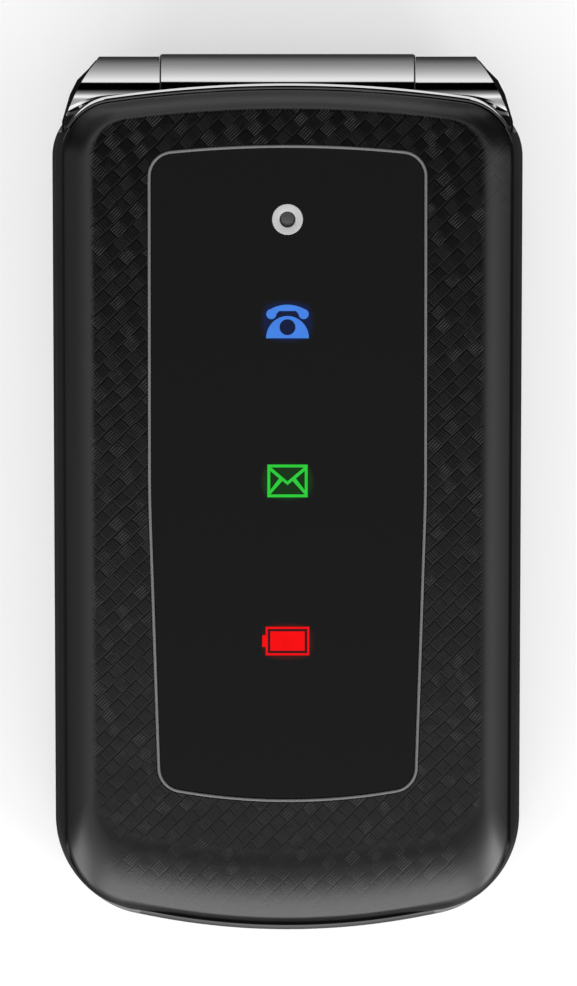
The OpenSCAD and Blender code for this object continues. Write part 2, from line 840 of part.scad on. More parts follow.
module keypad_mat() {
    color([0.75, 0.75, 0.72]) {
        translate([0, (nav_y + nav_r + first_row_y - 3.4 * key_pitch_y) / 2, mat_z])
            linear_extrude(mat_t)
                round_rect(2 * key_pitch_x + key_w - 1, nav_y + nav_r - first_row_y + 3.4 * key_pitch_y, 2);
        for (place = dome_places())
            upright(2, place, mat_z, mat_z + mat_t + dome_h);
    }
}

function dome_places() = concat(
    [for (i = [0 : 11]) key_place(i)],
    [for (sx = [-1, 1], y = [soft_key_y, call_key_y]) [sx * side_key_x, y]],
    [[0, nav_y]]
);

module battery() {
    color([0.25, 0.27, 0.3])
        translate([0, battery_y, battery_z])
            linear_extrude(battery_t)
                round_rect(battery_w, battery_l, 1);
}

module battery_contacts() {
    color([0.1, 0.1, 0.1])
        box(-contact_w / 2, contact_w / 2,
            battery_top_y + battery_gap, battery_top_y + battery_gap + bay_wall + 1.2, rear_floor + 0.4, board_z);
    color([0.9, 0.75, 0.35])
        for (i = [-1 : 1])
            box(i * 3 - 0.6, i * 3 + 0.6, battery_top_y + 0.1, battery_top_y + battery_gap,
                rear_floor + 1, rear_floor + 2.6);
}

module sim_holder() {
    color(steel)
        difference() {
            box(-sim_w / 2, sim_w / 2, sim_y - sim_l / 2, sim_y + sim_l / 2, bay_roof_z + 0.05, board_z);
            box(-sim_w / 2 + 1, sim_w / 2 - 1, sim_y - sim_l / 2 + 1, sim_y + sim_l / 2 - 1,
                bay_roof_z - cut, bay_roof_z + 0.25);
        }
}

module loudspeaker() {
    color([0.15, 0.15, 0.15])
        translate([speaker_x, speaker_y, rear_floor + 0.1])
            linear_extrude(speaker_h)
                round_rect(speaker_w, speaker_l, 2);
}

module microphone() {
    color(steel)
        upright(mic_r, mic_place, mat_z, plate_z - 0.2);
}

module usb_port() {
    color(steel)
        difference() {
            intersection() {
                usb_hole(0);
                box(port_set_back - half_w, port_set_back - half_w + usb_l, -body_l, body_l, 0, board_z);
            }
            translate([-half_w, port_y, board_z - usb_h / 2])
                rotate([90, 0, 90])
                    linear_extrude(usb_l)
                        round_rect(usb_w - 0.7, usb_h - 0.8, 0.6);
        }
    color(black)
        box(port_set_back - half_w + 0.7, port_set_back - half_w + usb_l,
            port_y - usb_w / 4, port_y + usb_w / 4, board_z - usb_h / 2 - 0.1, board_z - usb_h / 2 + 0.4);
}

module headset_jack() {
    mouth_x = half_w - port_set_back;
    color([0.12, 0.12, 0.12])
        difference() {
            union() {
                translate([mouth_x - jack_l - 1, port_y, port_z])
                    rotate([0, 90, 0])
                        cylinder(r = jack_body_r, h = jack_l + 1);
                box(mouth_x - jack_l - 1, mouth_x - 3.4,
                    port_y - jack_body_r - 0.4, port_y + jack_body_r + 0.4, port_z - jack_body_r, board_z);
            }
            translate([mouth_x - jack_l, port_y, port_z])
                rotate([0, 90, 0])
                    cylinder(r = jack_r, h = jack_l + cut);
        }
}

// The space beside the chin holds the vibration motor and the antenna, between two screw bosses.
low_bay_end = base_screw_places[1].x - boss_r;
motor_x = low_bay_gap - 0.9 - low_bay_end;
motor_weight_l = 2.6;

module vibration_motor() {
    motor_z = rear_floor + motor_r + part_gap;
    color(steel)
        translate([motor_x, low_bay_y, motor_z])
            rotate([0, 90, 0])
                cylinder(r = motor_r, h = motor_l);
    color([0.5, 0.45, 0.4])
        intersection() {
            translate([motor_x + motor_l, low_bay_y, motor_z])
                rotate([0, 90, 0])
                    cylinder(r = motor_r - 0.1, h = motor_weight_l);
            box(-half_w, half_w, chin_y, axis_y, motor_z - 0.5, motor_z + motor_r);
        }
}

module antenna() {
    color([0.75, 0.6, 0.3])
        box(motor_x + motor_l + motor_weight_l + low_bay_gap, low_bay_end - low_bay_gap,
            low_bay_y - antenna_l / 2, low_bay_y + antenna_l / 2, rear_floor + part_gap, board_z);
}

module base_screws() {
    color(steel)
        mirrored()
            for (place = base_screw_places)
                screw(place, rear_floor - 0.1, plate_z - rear_floor);
}

module battery_cover() {
    color(black) {
        intersection() {
            loft([for (t = [0, 0.06, cover_t / rear_h]) rear_ring(t, 0)]);
            box(-cover_w / 2, cover_w / 2, chin_y, cover_top_y, -cut, rear_h);
        }
        mirrored()
            box(cover_w / 2 - 1, cover_w / 2 + tongue_w,
                chin_y + 14, cover_top_y, tongue_z, tongue_z + tongue_t);
    }
}

// ---- Keys ----

// A key cap at the origin in plan: crowned top, flange below the plate and a foot over its dome.
module key_cap(w, l, r, crown_r) {
    intersection() {
        translate([0, 0, flange_z])
            linear_extrude(key_top_z - flange_z)
                round_rect(w, l, r);
        translate([0, -l, key_top_z - crown_r])
            rotate([-90, 0, 0])
                cylinder(r = crown_r, h = 2 * l, $fn = 180);
    }
    translate([0, 0, flange_z])
        linear_extrude(flange_t)
            round_rect(w + 2 * flange_w, l + 2 * flange_w, r + flange_w);
    upright(1.5, [0, 0], key_foot_z, flange_z + flange_t);
}

module number_key(i) {
    color(dark_grey)
        translate(key_place(i))
            key_cap(key_w, key_l, key_corner_r, key_crown_r);
}

module key_1() { number_key(0); }
module key_2() { number_key(1); }
module key_3() { number_key(2); }
module key_4() { number_key(3); }
module key_5() { number_key(4); }
module key_6() { number_key(5); }
module key_7() { number_key(6); }
module key_8() { number_key(7); }
module key_9() { number_key(8); }
module key_star() { number_key(9); }
module key_0() { number_key(10); }
module key_hash() { number_key(11); }

module side_key(sx, y, tint) {
    color(tint)
        translate([sx * side_key_x, y])
            key_cap(side_key_w, side_key_l, key_corner_r, key_crown_r);
}

module soft_key_left() { side_key(-1, soft_key_y, dark_grey); }
module soft_key_right() { side_key(1, soft_key_y, dark_grey); }
module call_key() { side_key(-1, call_key_y, [0.1, 0.4, 0.15]); }
module end_key() { side_key(1, call_key_y, [0.5, 0.1, 0.1]); }

// The navigation ring rocks on the pad below it, and the pad rocks the other way on the board.
nav_seat_z = flange_z;
module nav_ring() {
    color(chrome)
        difference() {
            union() {
                upright(nav_r, [0, nav_y], nav_seat_z, key_top_z - 0.1);
                upright(nav_r + flange_w, [0, nav_y], nav_seat_z, nav_seat_z + flange_t - 0.15);
            }
            upright(ok_r + ok_gap, [0, nav_y], nav_seat_z - cut, top_z);
        }
}

module nav_pad() {
    color(black)
        difference() {
            upright(nav_r - 3, [0, nav_y], nav_seat_z - 0.35, nav_seat_z - 0.2);
            upright(2, [0, nav_y], 0, top_z);
        }
}

module ok_key() {
    color(dark_grey) {
        intersection() {
            upright(ok_r, [0, nav_y], nav_seat_z + 0.2, key_top_z);
            translate([0, nav_y, key_top_z - 40])
                sphere(r = 40, $fn = 180);
        }
        upright(1.5, [0, nav_y], key_foot_z, nav_seat_z + 0.5);
    }
}

// The opening and rocker of the volume key in the left side wall.
volume_face_x = -half_w + 0.35;
module volume_opening() {
    low = rear_h - cut;
    high = volume_z + volume_h / 2 + key_gap;
    translate([-half_w - cut, volume_y, (low + high) / 2])
        rotate([90, 0, 90])
            linear_extrude(base_wall + side_taper + 2 * cut)
                round_rect(volume_l + 2 * key_gap, high - low, volume_h / 2);
}

module volume_key() {
    color(dark_grey) {
        translate([volume_face_x, volume_y, volume_z])
            rotate([90, 0, 90])
                linear_extrude(base_wall + 0.5)
                    round_rect(volume_l, volume_h, volume_h / 2 - 0.05);
        translate([volume_face_x + base_wall + 0.3, volume_y, volume_z])
            rotate([90, 0, 90])
                linear_extrude(0.3)
                    round_rect(volume_l + 1, volume_h - 0.1, volume_h / 2 - 0.1);
    }
}

// ---- Lid ----

// Height of the bevel at a share t of its way in: steep outside, nearly flat at its inner edge.
function bevel(t) = sin(78 * t) / sin(78);
function lid_ring(d, t) =
    ring(blend(outline(inset(lid_outline, d)), outline(inset(lid_flat, 0.4 * d)), t),
        shoulder_z - d + bevel_drop * bevel(t));

// The outer housing's skin: its ceiling, down its inside, under its rim and over the bevel to its flat top.
module lid_shell() {
    loft(concat(
        [for (t = [1, 0.5, 0]) lid_ring(lid_wall, t)],
        [for (d = [lid_wall, 0]) ring(outline(inset(lid_outline, d)), lid_part_z)],
        [for (t = [0, 0.12, 0.3, 0.6, 1]) lid_ring(0, t)]
    ));
}

module lid_hinge_cut() {
    hinge_rod(barrel_r + part_gap, -half_w, half_w);
}

module plate_slot() {
    box(-barrel_plate_w / 2 - part_gap, barrel_plate_w / 2 + part_gap, axis_y - 14, axis_y,
        lid_part_z - cut, lid_part_z + 0.1 + barrel_plate_t + part_gap);
}

module flip_outer_housing() {
    color(black)
        difference() {
            union() {
                lid_shell();
                intersection() {
                    hinge_rod(barrel_r + part_gap + hinge_wall, -half_w, half_w);
                    slab(inset(lid_outline, lid_wall / 2), lid_part_z, top_z);
                    box(-half_w, half_w, axis_y - body_l / 4, axis_y - 1, 0, top_z);
                }
                mirrored()
                    for (place = lid_screw_places)
                        upright(screw_r + 1.1, place, lid_part_z, shoulder_z + 0.6);
            }
            lid_hinge_cut();
            plate_slot();
            slab(inset(window_outline, -(window_trim_w + part_gap) / 2),
                top_z - window_t - part_gap, top_z + cut);
            upright(camera_ring_r + 0.6, [0, camera_y], shoulder_z - 1, top_z + cut);
            for (i = [0 : 2])
                upright(1.2, [0, call_y - i * mark_pitch], shoulder_z - 1, top_z + cut);
            mirrored()
                for (place = lid_screw_places)
                    upright(screw_r + screw_gap, place, lid_part_z - cut, lid_z + lid_screw_l + 0.6);
        }
}

module flip_inner_housing() {
    color(dark_grey)
        difference() {
            loft([
                ring(outline(inset(lid_outline, 0.55)), lid_z),
                ring(outline(inset(lid_outline, 0.25)), lid_z + 0.3),
                ring(outline(inset(lid_outline, 0.1)), lid_part_z)
            ]);
            lid_hinge_cut();
            translate([0, display_y, lid_z - cut])
                linear_extrude(inner_t + 2 * cut)
                    round_rect(display_w + 0.8, display_l + 0.8, 0.8);
            translate([0, lens_y, lid_z - cut])
                linear_extrude(lens_ledge_z - lid_z + cut)
                    round_rect(lens_w + 2 * part_gap, lens_l + 2 * part_gap, 2.6);
            for (i = [-1 : 1])
                translate([0, earpiece_y + i * 1.5, lid_z - cut])
                    linear_extrude(inner_t + 2 * cut)
                        round_rect(9 - 2 * abs(i), 0.7, 0.3);
            mirrored() {
                for (place = lid_screw_places) {
                    upright(screw_r + screw_gap, place, lid_z - cut, lid_part_z + cut);
                    upright(screw_head_r + screw_gap, place, lid_z - cut, lid_z + 0.1 + screw_head_h);
                }
                upright(bumper_r + part_gap, bumper_place, lid_z - cut, lid_z + 0.2);
            }
        }
}

bumper_place = [half_w - 10, chin_y + 5.4];
bumper_r = 1.5;

module flip_bumpers() {
    color(black)
        mirrored()
            upright(bumper_r, bumper_place, base_t + 0.1, lid_z + 0.2);
}

module flip_screws() {
    color(steel)
        mirrored()
            for (place = lid_screw_places)
                screw(place, lid_z + 0.1, lid_screw_l);
}

flex_bore_r = cartridge_r - 0.6;
flex_wound_t = 0.5;
module hinge_barrel() {
    color(chrome)
        difference() {
            union() {
                hinge_rod(barrel_r, -barrel_x, barrel_x);
                box(-barrel_plate_w / 2, barrel_plate_w / 2, axis_y - 13, axis_y - 3.4,
                    lid_part_z + 0.1, lid_part_z + 0.1 + barrel_plate_t);
            }
            hinge_rod(cartridge_r + running_gap, -barrel_x - cut, -barrel_x + cartridge_l + part_gap);
            hinge_rod(pivot_r + running_gap, barrel_x - pivot_in_barrel - 2, barrel_x + cut);
            hinge_rod(flex_bore_r, -barrel_x + cartridge_l, barrel_x - pivot_in_barrel - 3);
        }
}

module hinge_cartridge() {
    color(steel)
        difference() {
            hinge_rod(cartridge_r, -barrel_x, -barrel_x + cartridge_l);
            hinge_rod(cam_neck_r + running_gap, -barrel_x - cut, -barrel_x + cam_in_barrel + 0.2);
        }
}

// The turns of flat cable that wind up inside the barrel, between the cartridge and the pivot pin.
module flex_cable() {
    color([0.75, 0.45, 0.1])
        difference() {
            hinge_rod(flex_bore_r - 0.2, -barrel_x + cartridge_l + 1, barrel_x - pivot_in_barrel - 4);
            hinge_rod(flex_bore_r - 0.2 - flex_wound_t, -barrel_x, barrel_x);
        }
}

// The chrome crescent along the lid's hinge end.
module flip_trim() {
    raised = [for (v = lid_outline) [v.x, v.y > 0 ? v.y + edge_trim_w : v.y, v[2], v[3]]];
    color(chrome)
        difference() {
            slab(raised, shoulder_z - edge_trim_h, shoulder_z);
            slab(inset(lid_outline, -0.02), 0, top_z);
            box(-half_w, half_w, -body_l, axis_y - 4.2, 0, top_z);
            lid_hinge_cut();
        }
}

module cover_window() {
    color([0.05, 0.05, 0.06])
        difference() {
            slab(inset(window_outline, window_trim_w / 2 + part_gap / 2), top_z - window_t, mark_z);
            upright(camera_ring_r + running_gap, [0, camera_y], shoulder_z, top_z + cut);
        }
}

module window_trim() {
    color(steel)
        difference() {
            slab(inset(window_outline, -window_trim_w / 2), top_z - window_t, top_z);
            slab(inset(window_outline, window_trim_w / 2), 0, top_z + cut);
        }
}

module camera_ring() {
    color([0.85, 0.85, 0.85])
        difference() {
            upright(camera_ring_r, [0, camera_y], top_z - window_t, mark_z + 0.05);
            upright(camera_ring_bore_r, [0, camera_y], 0, top_z + cut);
        }
}

module camera_lens() {
    color([0.1, 0.1, 0.15])
        upright(camera_ring_bore_r - running_gap, [0, camera_y], top_z - window_t, top_z - 0.4);
}

module camera_module() {
    color(black)
        translate([0, camera_y, 0]) {
            box(-camera_module_w / 2, camera_module_w / 2, -camera_module_w / 2, camera_module_w / 2,
                lid_board_z + lid_board_t, top_z - lid_wall - 0.15);
            upright(camera_ring_r + 0.3, [0, 0], top_z - lid_wall - 0.2, top_z - window_t - part_gap / 2);
        }
}

// A telephone: a handset over a body with a round dial.
module call_indicator() {
    color([0.2, 0.45, 0.9])
        translate([0, call_y, mark_z])
            linear_extrude(mark_t) {
                difference() {
                    polygon([
                        [-1.9, -2.05], [1.9, -2.05], [1.9, -0.9], [0.9, 0.9], [-0.9, 0.9], [-1.9, -0.9]
                    ]);
                    translate([0, -0.6])
                        circle(0.85);
                }
                difference() {
                    intersection() {
                        translate([0, -1.6])
                            circle(3.65, $fn = 96);
                        translate([-2.6, 0.2])
                            square([5.2, 2]);
                    }
                    translate([0, -2.4])
                        circle(3.5, $fn = 96);
                }
            }
}

// An envelope: a plate with an opening above the flap, one below it and one on each side.
module message_indicator() {
    half_x = 2.4;
    half_y = 1.95;
    frame_x = half_x - 0.34;
    frame_y = half_y - 0.34;
    color([0.2, 0.8, 0.2])
        translate([0, call_y - mark_pitch, mark_z])
            linear_extrude(mark_t)
                difference() {
                    square([2 * half_x, 2 * half_y], center = true);
                    polygon([[-frame_x + 0.1, frame_y], [0, -0.05], [frame_x - 0.1, frame_y]]);
                    polygon([[-frame_x, -frame_y], [frame_x, -frame_y], [0.6, 0], [0, -0.5], [-0.6, 0]]);
                    mirrored()
                        polygon([[frame_x, -1.1], [frame_x, 1.2], [1, 0.3]]);
                }
}

// A battery: a frame with a terminal and a filled middle.
module battery_indicator() {
    color([0.85, 0.05, 0.08])
        translate([0, call_y - 2 * mark_pitch, mark_z])
            linear_extrude(mark_t) {
                difference() {
                    square([5.2, 3.4], center = true);
                    square([4.7, 2.9], center = true);
                }
                square([4.1, 2.3], center = true);
                translate([-3, -0.7])
                    square([0.45, 1.4]);
            }
}

module flip_board() {
    high = camera_y + camera_module_w / 2;
    low = call_y - 2 * mark_pitch - lid_board_end;
    color(green_board) {
        translate([0, (low + high) / 2, lid_board_z])
            linear_extrude(lid_board_t)
                round_rect(lid_board_w, high - low, 1.5);
        for (i = [0 : 2])
            box(-0.9, 0.9, call_y - i * mark_pitch - 0.6, call_y - i * mark_pitch + 0.6,
                lid_board_z + lid_board_t, lid_board_z + lid_board_t + 0.7);
    }
}

module display_module() {
    color([0.1, 0.12, 0.16])
        box(-module_w / 2, module_w / 2, display_y - module_l / 2, display_y + module_l / 2,
            module_z, module_z + display_t);
}

module display_window() {
    color([0.03, 0.03, 0.04])
        translate([0, lens_y, display_window_z])
            linear_extrude(display_window_t)
                round_rect(lens_w, lens_l, 2.5);
}

module earpiece() {
    color(steel)
        translate([0, earpiece_y, lid_part_z + 0.1])
            linear_extrude(2.2)
                round_rect(12, 6.4, 3);
}

rear_housing();
front_housing();
chin_trim();
hinge_lug_left();
hinge_lug_right();
main_board();
keypad_mat();
battery();
battery_contacts();
sim_holder();
loudspeaker();
microphone();
usb_port();
headset_jack();
vibration_motor();
antenna();
hinge_cam_head();
hinge_pivot_pin();
base_screws();
battery_cover();
key_1();
key_2();
key_3();
key_4();
key_5();
key_6();
key_7();
key_8();
key_9();
key_star();
key_0();
key_hash();
soft_key_left();
soft_key_right();
call_key();
end_key();
nav_pad();
nav_ring();
ok_key();
volume_key();
flip_outer_housing();
flip_inner_housing();
hinge_barrel();
flip_trim();
cover_window();
window_trim();
camera_ring();
camera_lens();
camera_module();
call_indicator();
message_indicator();
battery_indicator();
flip_board();
display_module();
display_window();
earpiece();
hinge_cartridge();
flip_bumpers();
flip_screws();
flex_cable();
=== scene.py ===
"""Looks of the flip phone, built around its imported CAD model.

Shapes are written in millimetres, in the CAD's frame, and turned into metres when a mesh is made.
"""

import json
import math
from contextlib import contextmanager

import bmesh
import bpy
from mathutils import Matrix, Vector

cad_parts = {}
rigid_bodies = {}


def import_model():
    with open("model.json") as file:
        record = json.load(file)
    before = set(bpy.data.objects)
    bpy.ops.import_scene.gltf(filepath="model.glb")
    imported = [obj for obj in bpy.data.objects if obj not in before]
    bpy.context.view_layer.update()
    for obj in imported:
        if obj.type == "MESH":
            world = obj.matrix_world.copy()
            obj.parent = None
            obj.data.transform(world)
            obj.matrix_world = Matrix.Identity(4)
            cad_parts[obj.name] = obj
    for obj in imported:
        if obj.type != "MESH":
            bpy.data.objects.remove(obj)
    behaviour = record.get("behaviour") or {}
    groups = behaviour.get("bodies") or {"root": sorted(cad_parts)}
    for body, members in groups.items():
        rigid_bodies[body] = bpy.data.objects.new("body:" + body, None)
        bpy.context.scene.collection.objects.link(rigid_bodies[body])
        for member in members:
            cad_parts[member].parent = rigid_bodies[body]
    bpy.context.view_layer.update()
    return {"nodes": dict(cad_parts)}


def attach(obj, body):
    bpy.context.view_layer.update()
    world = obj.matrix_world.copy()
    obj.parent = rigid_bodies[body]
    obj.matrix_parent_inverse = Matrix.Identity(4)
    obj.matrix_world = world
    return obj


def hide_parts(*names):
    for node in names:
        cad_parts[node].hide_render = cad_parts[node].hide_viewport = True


for leftover in list(bpy.data.objects):
    bpy.data.objects.remove(leftover)

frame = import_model()
MM = 0.001

# ---- Sizes of the part, in millimetres ----

# Outline of the body, and the hinge's axis
HALF_W = 28.15
CHIN_Y = -52.5
CHIN_ARC_R = 84
SIDE_TAPER = 0.5
AXIS_Y, AXIS_Z = 47.6, 10.4
# Keypad half: thickness, seam, rounding of the back, wall, underside of the face, floor of the key well
BASE_T = 10.2
REAR_H = 7.0
BACK_ROLL = 3.4
BASE_WALL = 1.3
PLATE_Z = 9.0
WELL_Z = 9.7
# Lid: underside, seam, foot and top of the bevel, face of the window, wall, chrome edge trim
LID_Z = 10.6
LID_PART_Z = 12.0
SHOULDER_Z = 17.0
TOP_Z = 19.4
BEVEL_DROP = TOP_Z - SHOULDER_Z
BEVEL_TURN = math.radians(83)
MARK_Z = 19.3
LID_WALL = 1.4
EDGE_TRIM_H, EDGE_TRIM_W = 1.4, 0.66
# Hinge: barrel, lugs, the gaps round them, the sockets in the lugs, and the steps of a fine turned shape
BARREL_R, BARREL_X = 4.9, 15.1
LUG_R, LUG_X = 4.6, 15.3
LUG_FOOT_Z = 7.8
HINGE_GAP = 0.3
RUNNING_GAP = 0.05
LID_HINGE_GAP = 0.1
PIN_SOCKET_R, PIN_SOCKET_L = 1.55, 5.1
CAM_SOCKET_W, CAM_SOCKET_L = 3.5, 4.45
HINGE_STEPS = 192
# Camera and lit marks in the cover window
CAMERA_Y = 32.4
CALL_Y = 20.22
MARK_PITCH = 19.1
# Keys
KEY_TOP_Z, FLANGE_Z, FLANGE_W = 10.3, 8.5, 0.45
KEY_W, KEY_L = 14.8, 10.6
KEY_PITCH_X, KEY_PITCH_Y = 16.2, 12.6
FIRST_ROW_Y = 2.5
SIDE_KEY_W, SIDE_KEY_L, SIDE_KEY_X = 11.4, 8.2, 17.6
SOFT_KEY_Y, CALL_KEY_Y = 30.2, 19.0
KEY_CORNER_R = 2.2
KEY_GAP = 0.15
NAV_Y, NAV_R = 24.0, 9.5
OK_R, OK_GAP = 4.4, 0.25
# Back: floor, cover with its tongues, battery bay, loudspeaker slots
REAR_FLOOR = 2.0
COVER_T, COVER_W, COVER_TOP_Y = 1.2, 46.0, 16.2
COVER_GAP = 0.15
TONGUE_W, TONGUE_T, TONGUE_Z = 0.8, 0.5, 0.5
BATTERY_W, BATTERY_L, BATTERY_Y = 38.6, 51.0, -11.9
BATTERY_GAP = 0.3
BAY_ROOF_Z = 5.95
BAY_WALL = 1.0
SPEAKER_X, SPEAKER_Y = -5.0, 25.1
# Screws, bumpers, microphone, sockets
BASE_SCREWS = ((22.4, 37.3), (21.0, -43.3))
LID_SCREWS = ((23.4, 33.0), (22.8, -40.9))
SCREW_HEAD_R, SCREW_HEAD_H, SCREW_R, SCREW_GAP = 1.6, 0.7, 0.9, 0.06
BUMPER, BUMPER_R = (18.15, -47.1), 1.5
MIC_Y = -46.5
PORT_Y = 27.0
# Inner display, its window, and the earpiece's slots
LENS_W, LENS_L, LENS_R, LENS_Y, LENS_Z, LENS_T = 44.3, 61.8, 2.5, -7.6, 10.75, 0.85
DISPLAY_W, DISPLAY_L, DISPLAY_Y = 36.7, 49.0, -8.0
EARPIECE_Y = -45.3
# Chrome strip round the chin: its heights, its end, where it starts to narrow, and its reach behind the outline
CHIN_TRIM_LOW, CHIN_TRIM_HIGH, CHIN_TRIM_TOP_Y = 7.2, 9.8, -45.5
STRIP_END_Y, STRIP_BACK = -48.6, 0.78

# How far a cutting shape passes the surface that it cuts
PAST = 1

# ---- Outlines in plan, as in the CAD source but with finer arcs ----

CORNER_STEPS = 30
END_STEPS = 28


def half_angle(a, b, c):
    """Half the angle at b, with the directions from it to a and c."""
    to_a, to_c = (a - b).normalized(), (c - b).normalized()
    return math.acos(max(-1, min(1, to_a.dot(to_c)))) / 2, to_a, to_c


def corner(a, b, c, r, steps):
    """Points of the arc of radius r at b, tangent to the sides towards a and c."""
    half, to_a, to_c = half_angle(a, b, c)
    centre = b + (to_a + to_c).normalized() * r / math.sin(half)
    start = b + to_a * r / math.tan(half) - centre
    first = math.atan2(start.y, start.x)
    turns = [first + (math.pi - 2 * half) * i / steps for i in range(steps + 1)]
    return [centre + r * Vector((math.cos(a), math.sin(a))) for a in turns]


def outline(shape):
    """Points of a closed outline given as [x, y, corner radius, steps] vertices."""
    flat = [Vector(v[:2]) for v in shape]
    points = []
    for i, v in enumerate(shape):
        points += corner(flat[i - 1], flat[i], flat[(i + 1) % len(flat)], v[2], v[3])
    return points


def inset(shape, d):
    """The same outline moved inward by d."""
    flat = [Vector(v[:2]) for v in shape]
    moved = []
    for i, v in enumerate(shape):
        half, to_a, to_c = half_angle(flat[i - 1], flat[i], flat[(i + 1) % len(flat)])
        b = flat[i] + (to_a + to_c).normalized() * d / math.sin(half)
        moved.append([b.x, b.y, v[2] - d, v[3]])
    return moved


def both_sides(half):
    """The outline with its right half mirrored to the left."""
    return half + [[-v[0], v[1], v[2], v[3]] for v in reversed(half[1:-1])]


def crown(r, slope):
    """How far an arc of radius r lies within the corner of its two tangents of that slope."""
    return r * (1 / math.cos(slope) - 1)


def end_slope(side, corner_r, end_r):
    """Slope of the end's arc where the corner's arc begins."""
    return math.asin((side - 1.01 * corner_r) / end_r)


def shell_outline(side, chin, chin_corner, end, end_r, end_corner):
    """A shell's outline, with an arc at each end and sides that come together toward the chin."""
    low_side = side - SIDE_TAPER
    chin_slope = end_slope(low_side, chin_corner, CHIN_ARC_R)
    slope = end_slope(side, end_corner, end_r)
    low = chin - crown(CHIN_ARC_R, chin_slope)
    high = end + crown(end_r, slope)
    return both_sides([
        [0, low, CHIN_ARC_R, END_STEPS],
        [low_side, low + low_side * math.tan(chin_slope), chin_corner, CORNER_STEPS],
        [side, high - side * math.tan(slope), end_corner, CORNER_STEPS],
        [0, high, end_r, END_STEPS],
    ])


BASE_OUTLINE = shell_outline(HALF_W + 0.05, CHIN_Y + 0.13, 11.9, AXIS_Y - 0.3, 1000, 7)
LID_OUTLINE = shell_outline(HALF_W - 1.05, CHIN_Y + 0.7, 9.4, AXIS_Y + 0.4, 150, 6.6)
LID_FLAT = shell_outline(HALF_W - 5.0, CHIN_Y + 9.5, 6.0, AXIS_Y - 2.1, 150, 4.6)


def window_shape():
    """The cover window: arcs at its two ends, and slightly bowed sides that come together toward the chin."""
    top, low, high_w, low_w, top_r, low_r, corner_r = 41.13, -36.95, 16.53, 15.3, 139, 75.6, 2.9
    top_slope, low_slope = end_slope(high_w, corner_r, top_r), end_slope(low_w, corner_r, low_r)
    low_tip, top_tip = low - crown(low_r, low_slope), top + crown(top_r, top_slope)
    return both_sides([
        [0, low_tip, low_r, END_STEPS],
        [low_w, low_tip + low_w * math.tan(low_slope), corner_r, 12],
        [high_w - 0.05, (top + low) / 2 - 3, 200, 6],
        [high_w, top_tip - high_w * math.tan(top_slope), corner_r, 12],
        [0, top_tip, top_r, END_STEPS],
    ])


WINDOW = window_shape()


def round_rect(w, l, r, place=(0, 0), steps=8):
    """Points of a rectangle with round corners."""
    points = []
    for sx, sy, first in ((1, 1, 0), (-1, 1, 90), (-1, -1, 180), (1, -1, 270)):
        for i in range(steps + 1):
            a = math.radians(first + 90 * i / steps)
            points.append(Vector((
                place[0] + sx * (w / 2 - r) + r * math.cos(a),
                place[1] + sy * (l / 2 - r) + r * math.sin(a),
            )))
    return points


def circle(r, place, steps=64):
    turns = [2 * math.pi * i / steps for i in range(steps)]
    return [Vector((place[0] + r * math.cos(a), place[1] + r * math.sin(a))) for a in turns]


def quarter_round(r, steps):
    """How far each step of a rounded edge lies inward and down, from its foot to its top."""
    turns = [math.pi / 2 * i / steps for i in range(steps + 1)]
    return [(r * (1 - math.cos(a)), r * (1 - math.sin(a))) for a in turns]


def clamp(value):
    """The value kept between 0 and 1."""
    return max(0.0, min(1.0, value))


# ---- Meshes ----

# Angles in degrees above which an edge is sharp, in general and on shapes with coarser rounds
SMOOTH, ROUND_SMOOTH = 32, 40


def ring(points, z):
    return [Vector((p.x, p.y, z)) for p in points]


def contours(shape, steps):
    """Rings of an outline, from pairs of how far it is moved inward and at what height."""
    return [ring(outline(inset(shape, d)), z) for d, z in steps]


def mix(a, b, t):
    return [p.lerp(q, t) for p, q in zip(a, b)]


def add_object(name, data):
    obj = bpy.data.objects.new(name, data)
    bpy.context.scene.collection.objects.link(obj)
    return obj


def smooth(mesh, angle=SMOOTH):
    mesh.shade_smooth()
    mesh.set_sharp_from_angle(angle=math.radians(angle))


def make_object(name, bm, smooth_angle=SMOOTH):
    """An object from a bmesh in millimetres, smooth below that angle."""
    bmesh.ops.remove_doubles(bm, verts=bm.verts, dist=1e-4)
    bmesh.ops.recalc_face_normals(bm, faces=bm.faces)
    mesh = bpy.data.meshes.new(name)
    bm.to_mesh(mesh)
    bm.free()
    mesh.transform(Matrix.Scale(MM, 4))
    smooth(mesh, smooth_angle)
    return add_object(name, mesh)


@contextmanager
def opened(mesh):
    """The mesh as a bmesh, which is written back afterwards."""
    bm = bmesh.new()
    bm.from_mesh(mesh)
    yield bm
    bm.to_mesh(mesh)
    bm.free()


def evaluated_mesh(obj):
    """A mesh of the object as it stands after its modifiers."""
    bpy.context.view_layer.update()
    return bpy.data.meshes.new_from_object(obj.evaluated_get(bpy.context.evaluated_depsgraph_get()))


def add_loft(bm, rings):
    """Adds a solid through rings of equal length."""
    loops = [[bm.verts.new(p) for p in points] for points in rings]
    n = len(loops[0])
    for low, high in zip(loops, loops[1:]):
        for i in range(n):
            j = (i + 1) % n
            bm.faces.new((low[i], low[j], high[j], high[i]))
    bm.faces.new(list(reversed(loops[0])))
    bm.faces.new(loops[-1])
    return bm


def loft(name, rings, smooth_angle=SMOOTH):
    return make_object(name, add_loft(bmesh.new(), rings), smooth_angle)


def prisms(name, outlines):
    """One object of several prisms, each given as (points, low z, high z)."""
    bm = bmesh.new()
    for points, z0, z1 in outlines:
        add_loft(bm, [ring(points, z0), ring(points, z1)])
    return make_object(name, bm)


def prism(points, z0, z1):
    return prisms("prism", [(points, z0, z1)])


def box_points(x0, x1, y0, y1):
    return [Vector((x0, y0)), Vector((x1, y0)), Vector((x1, y1)), Vector((x0, y1))]


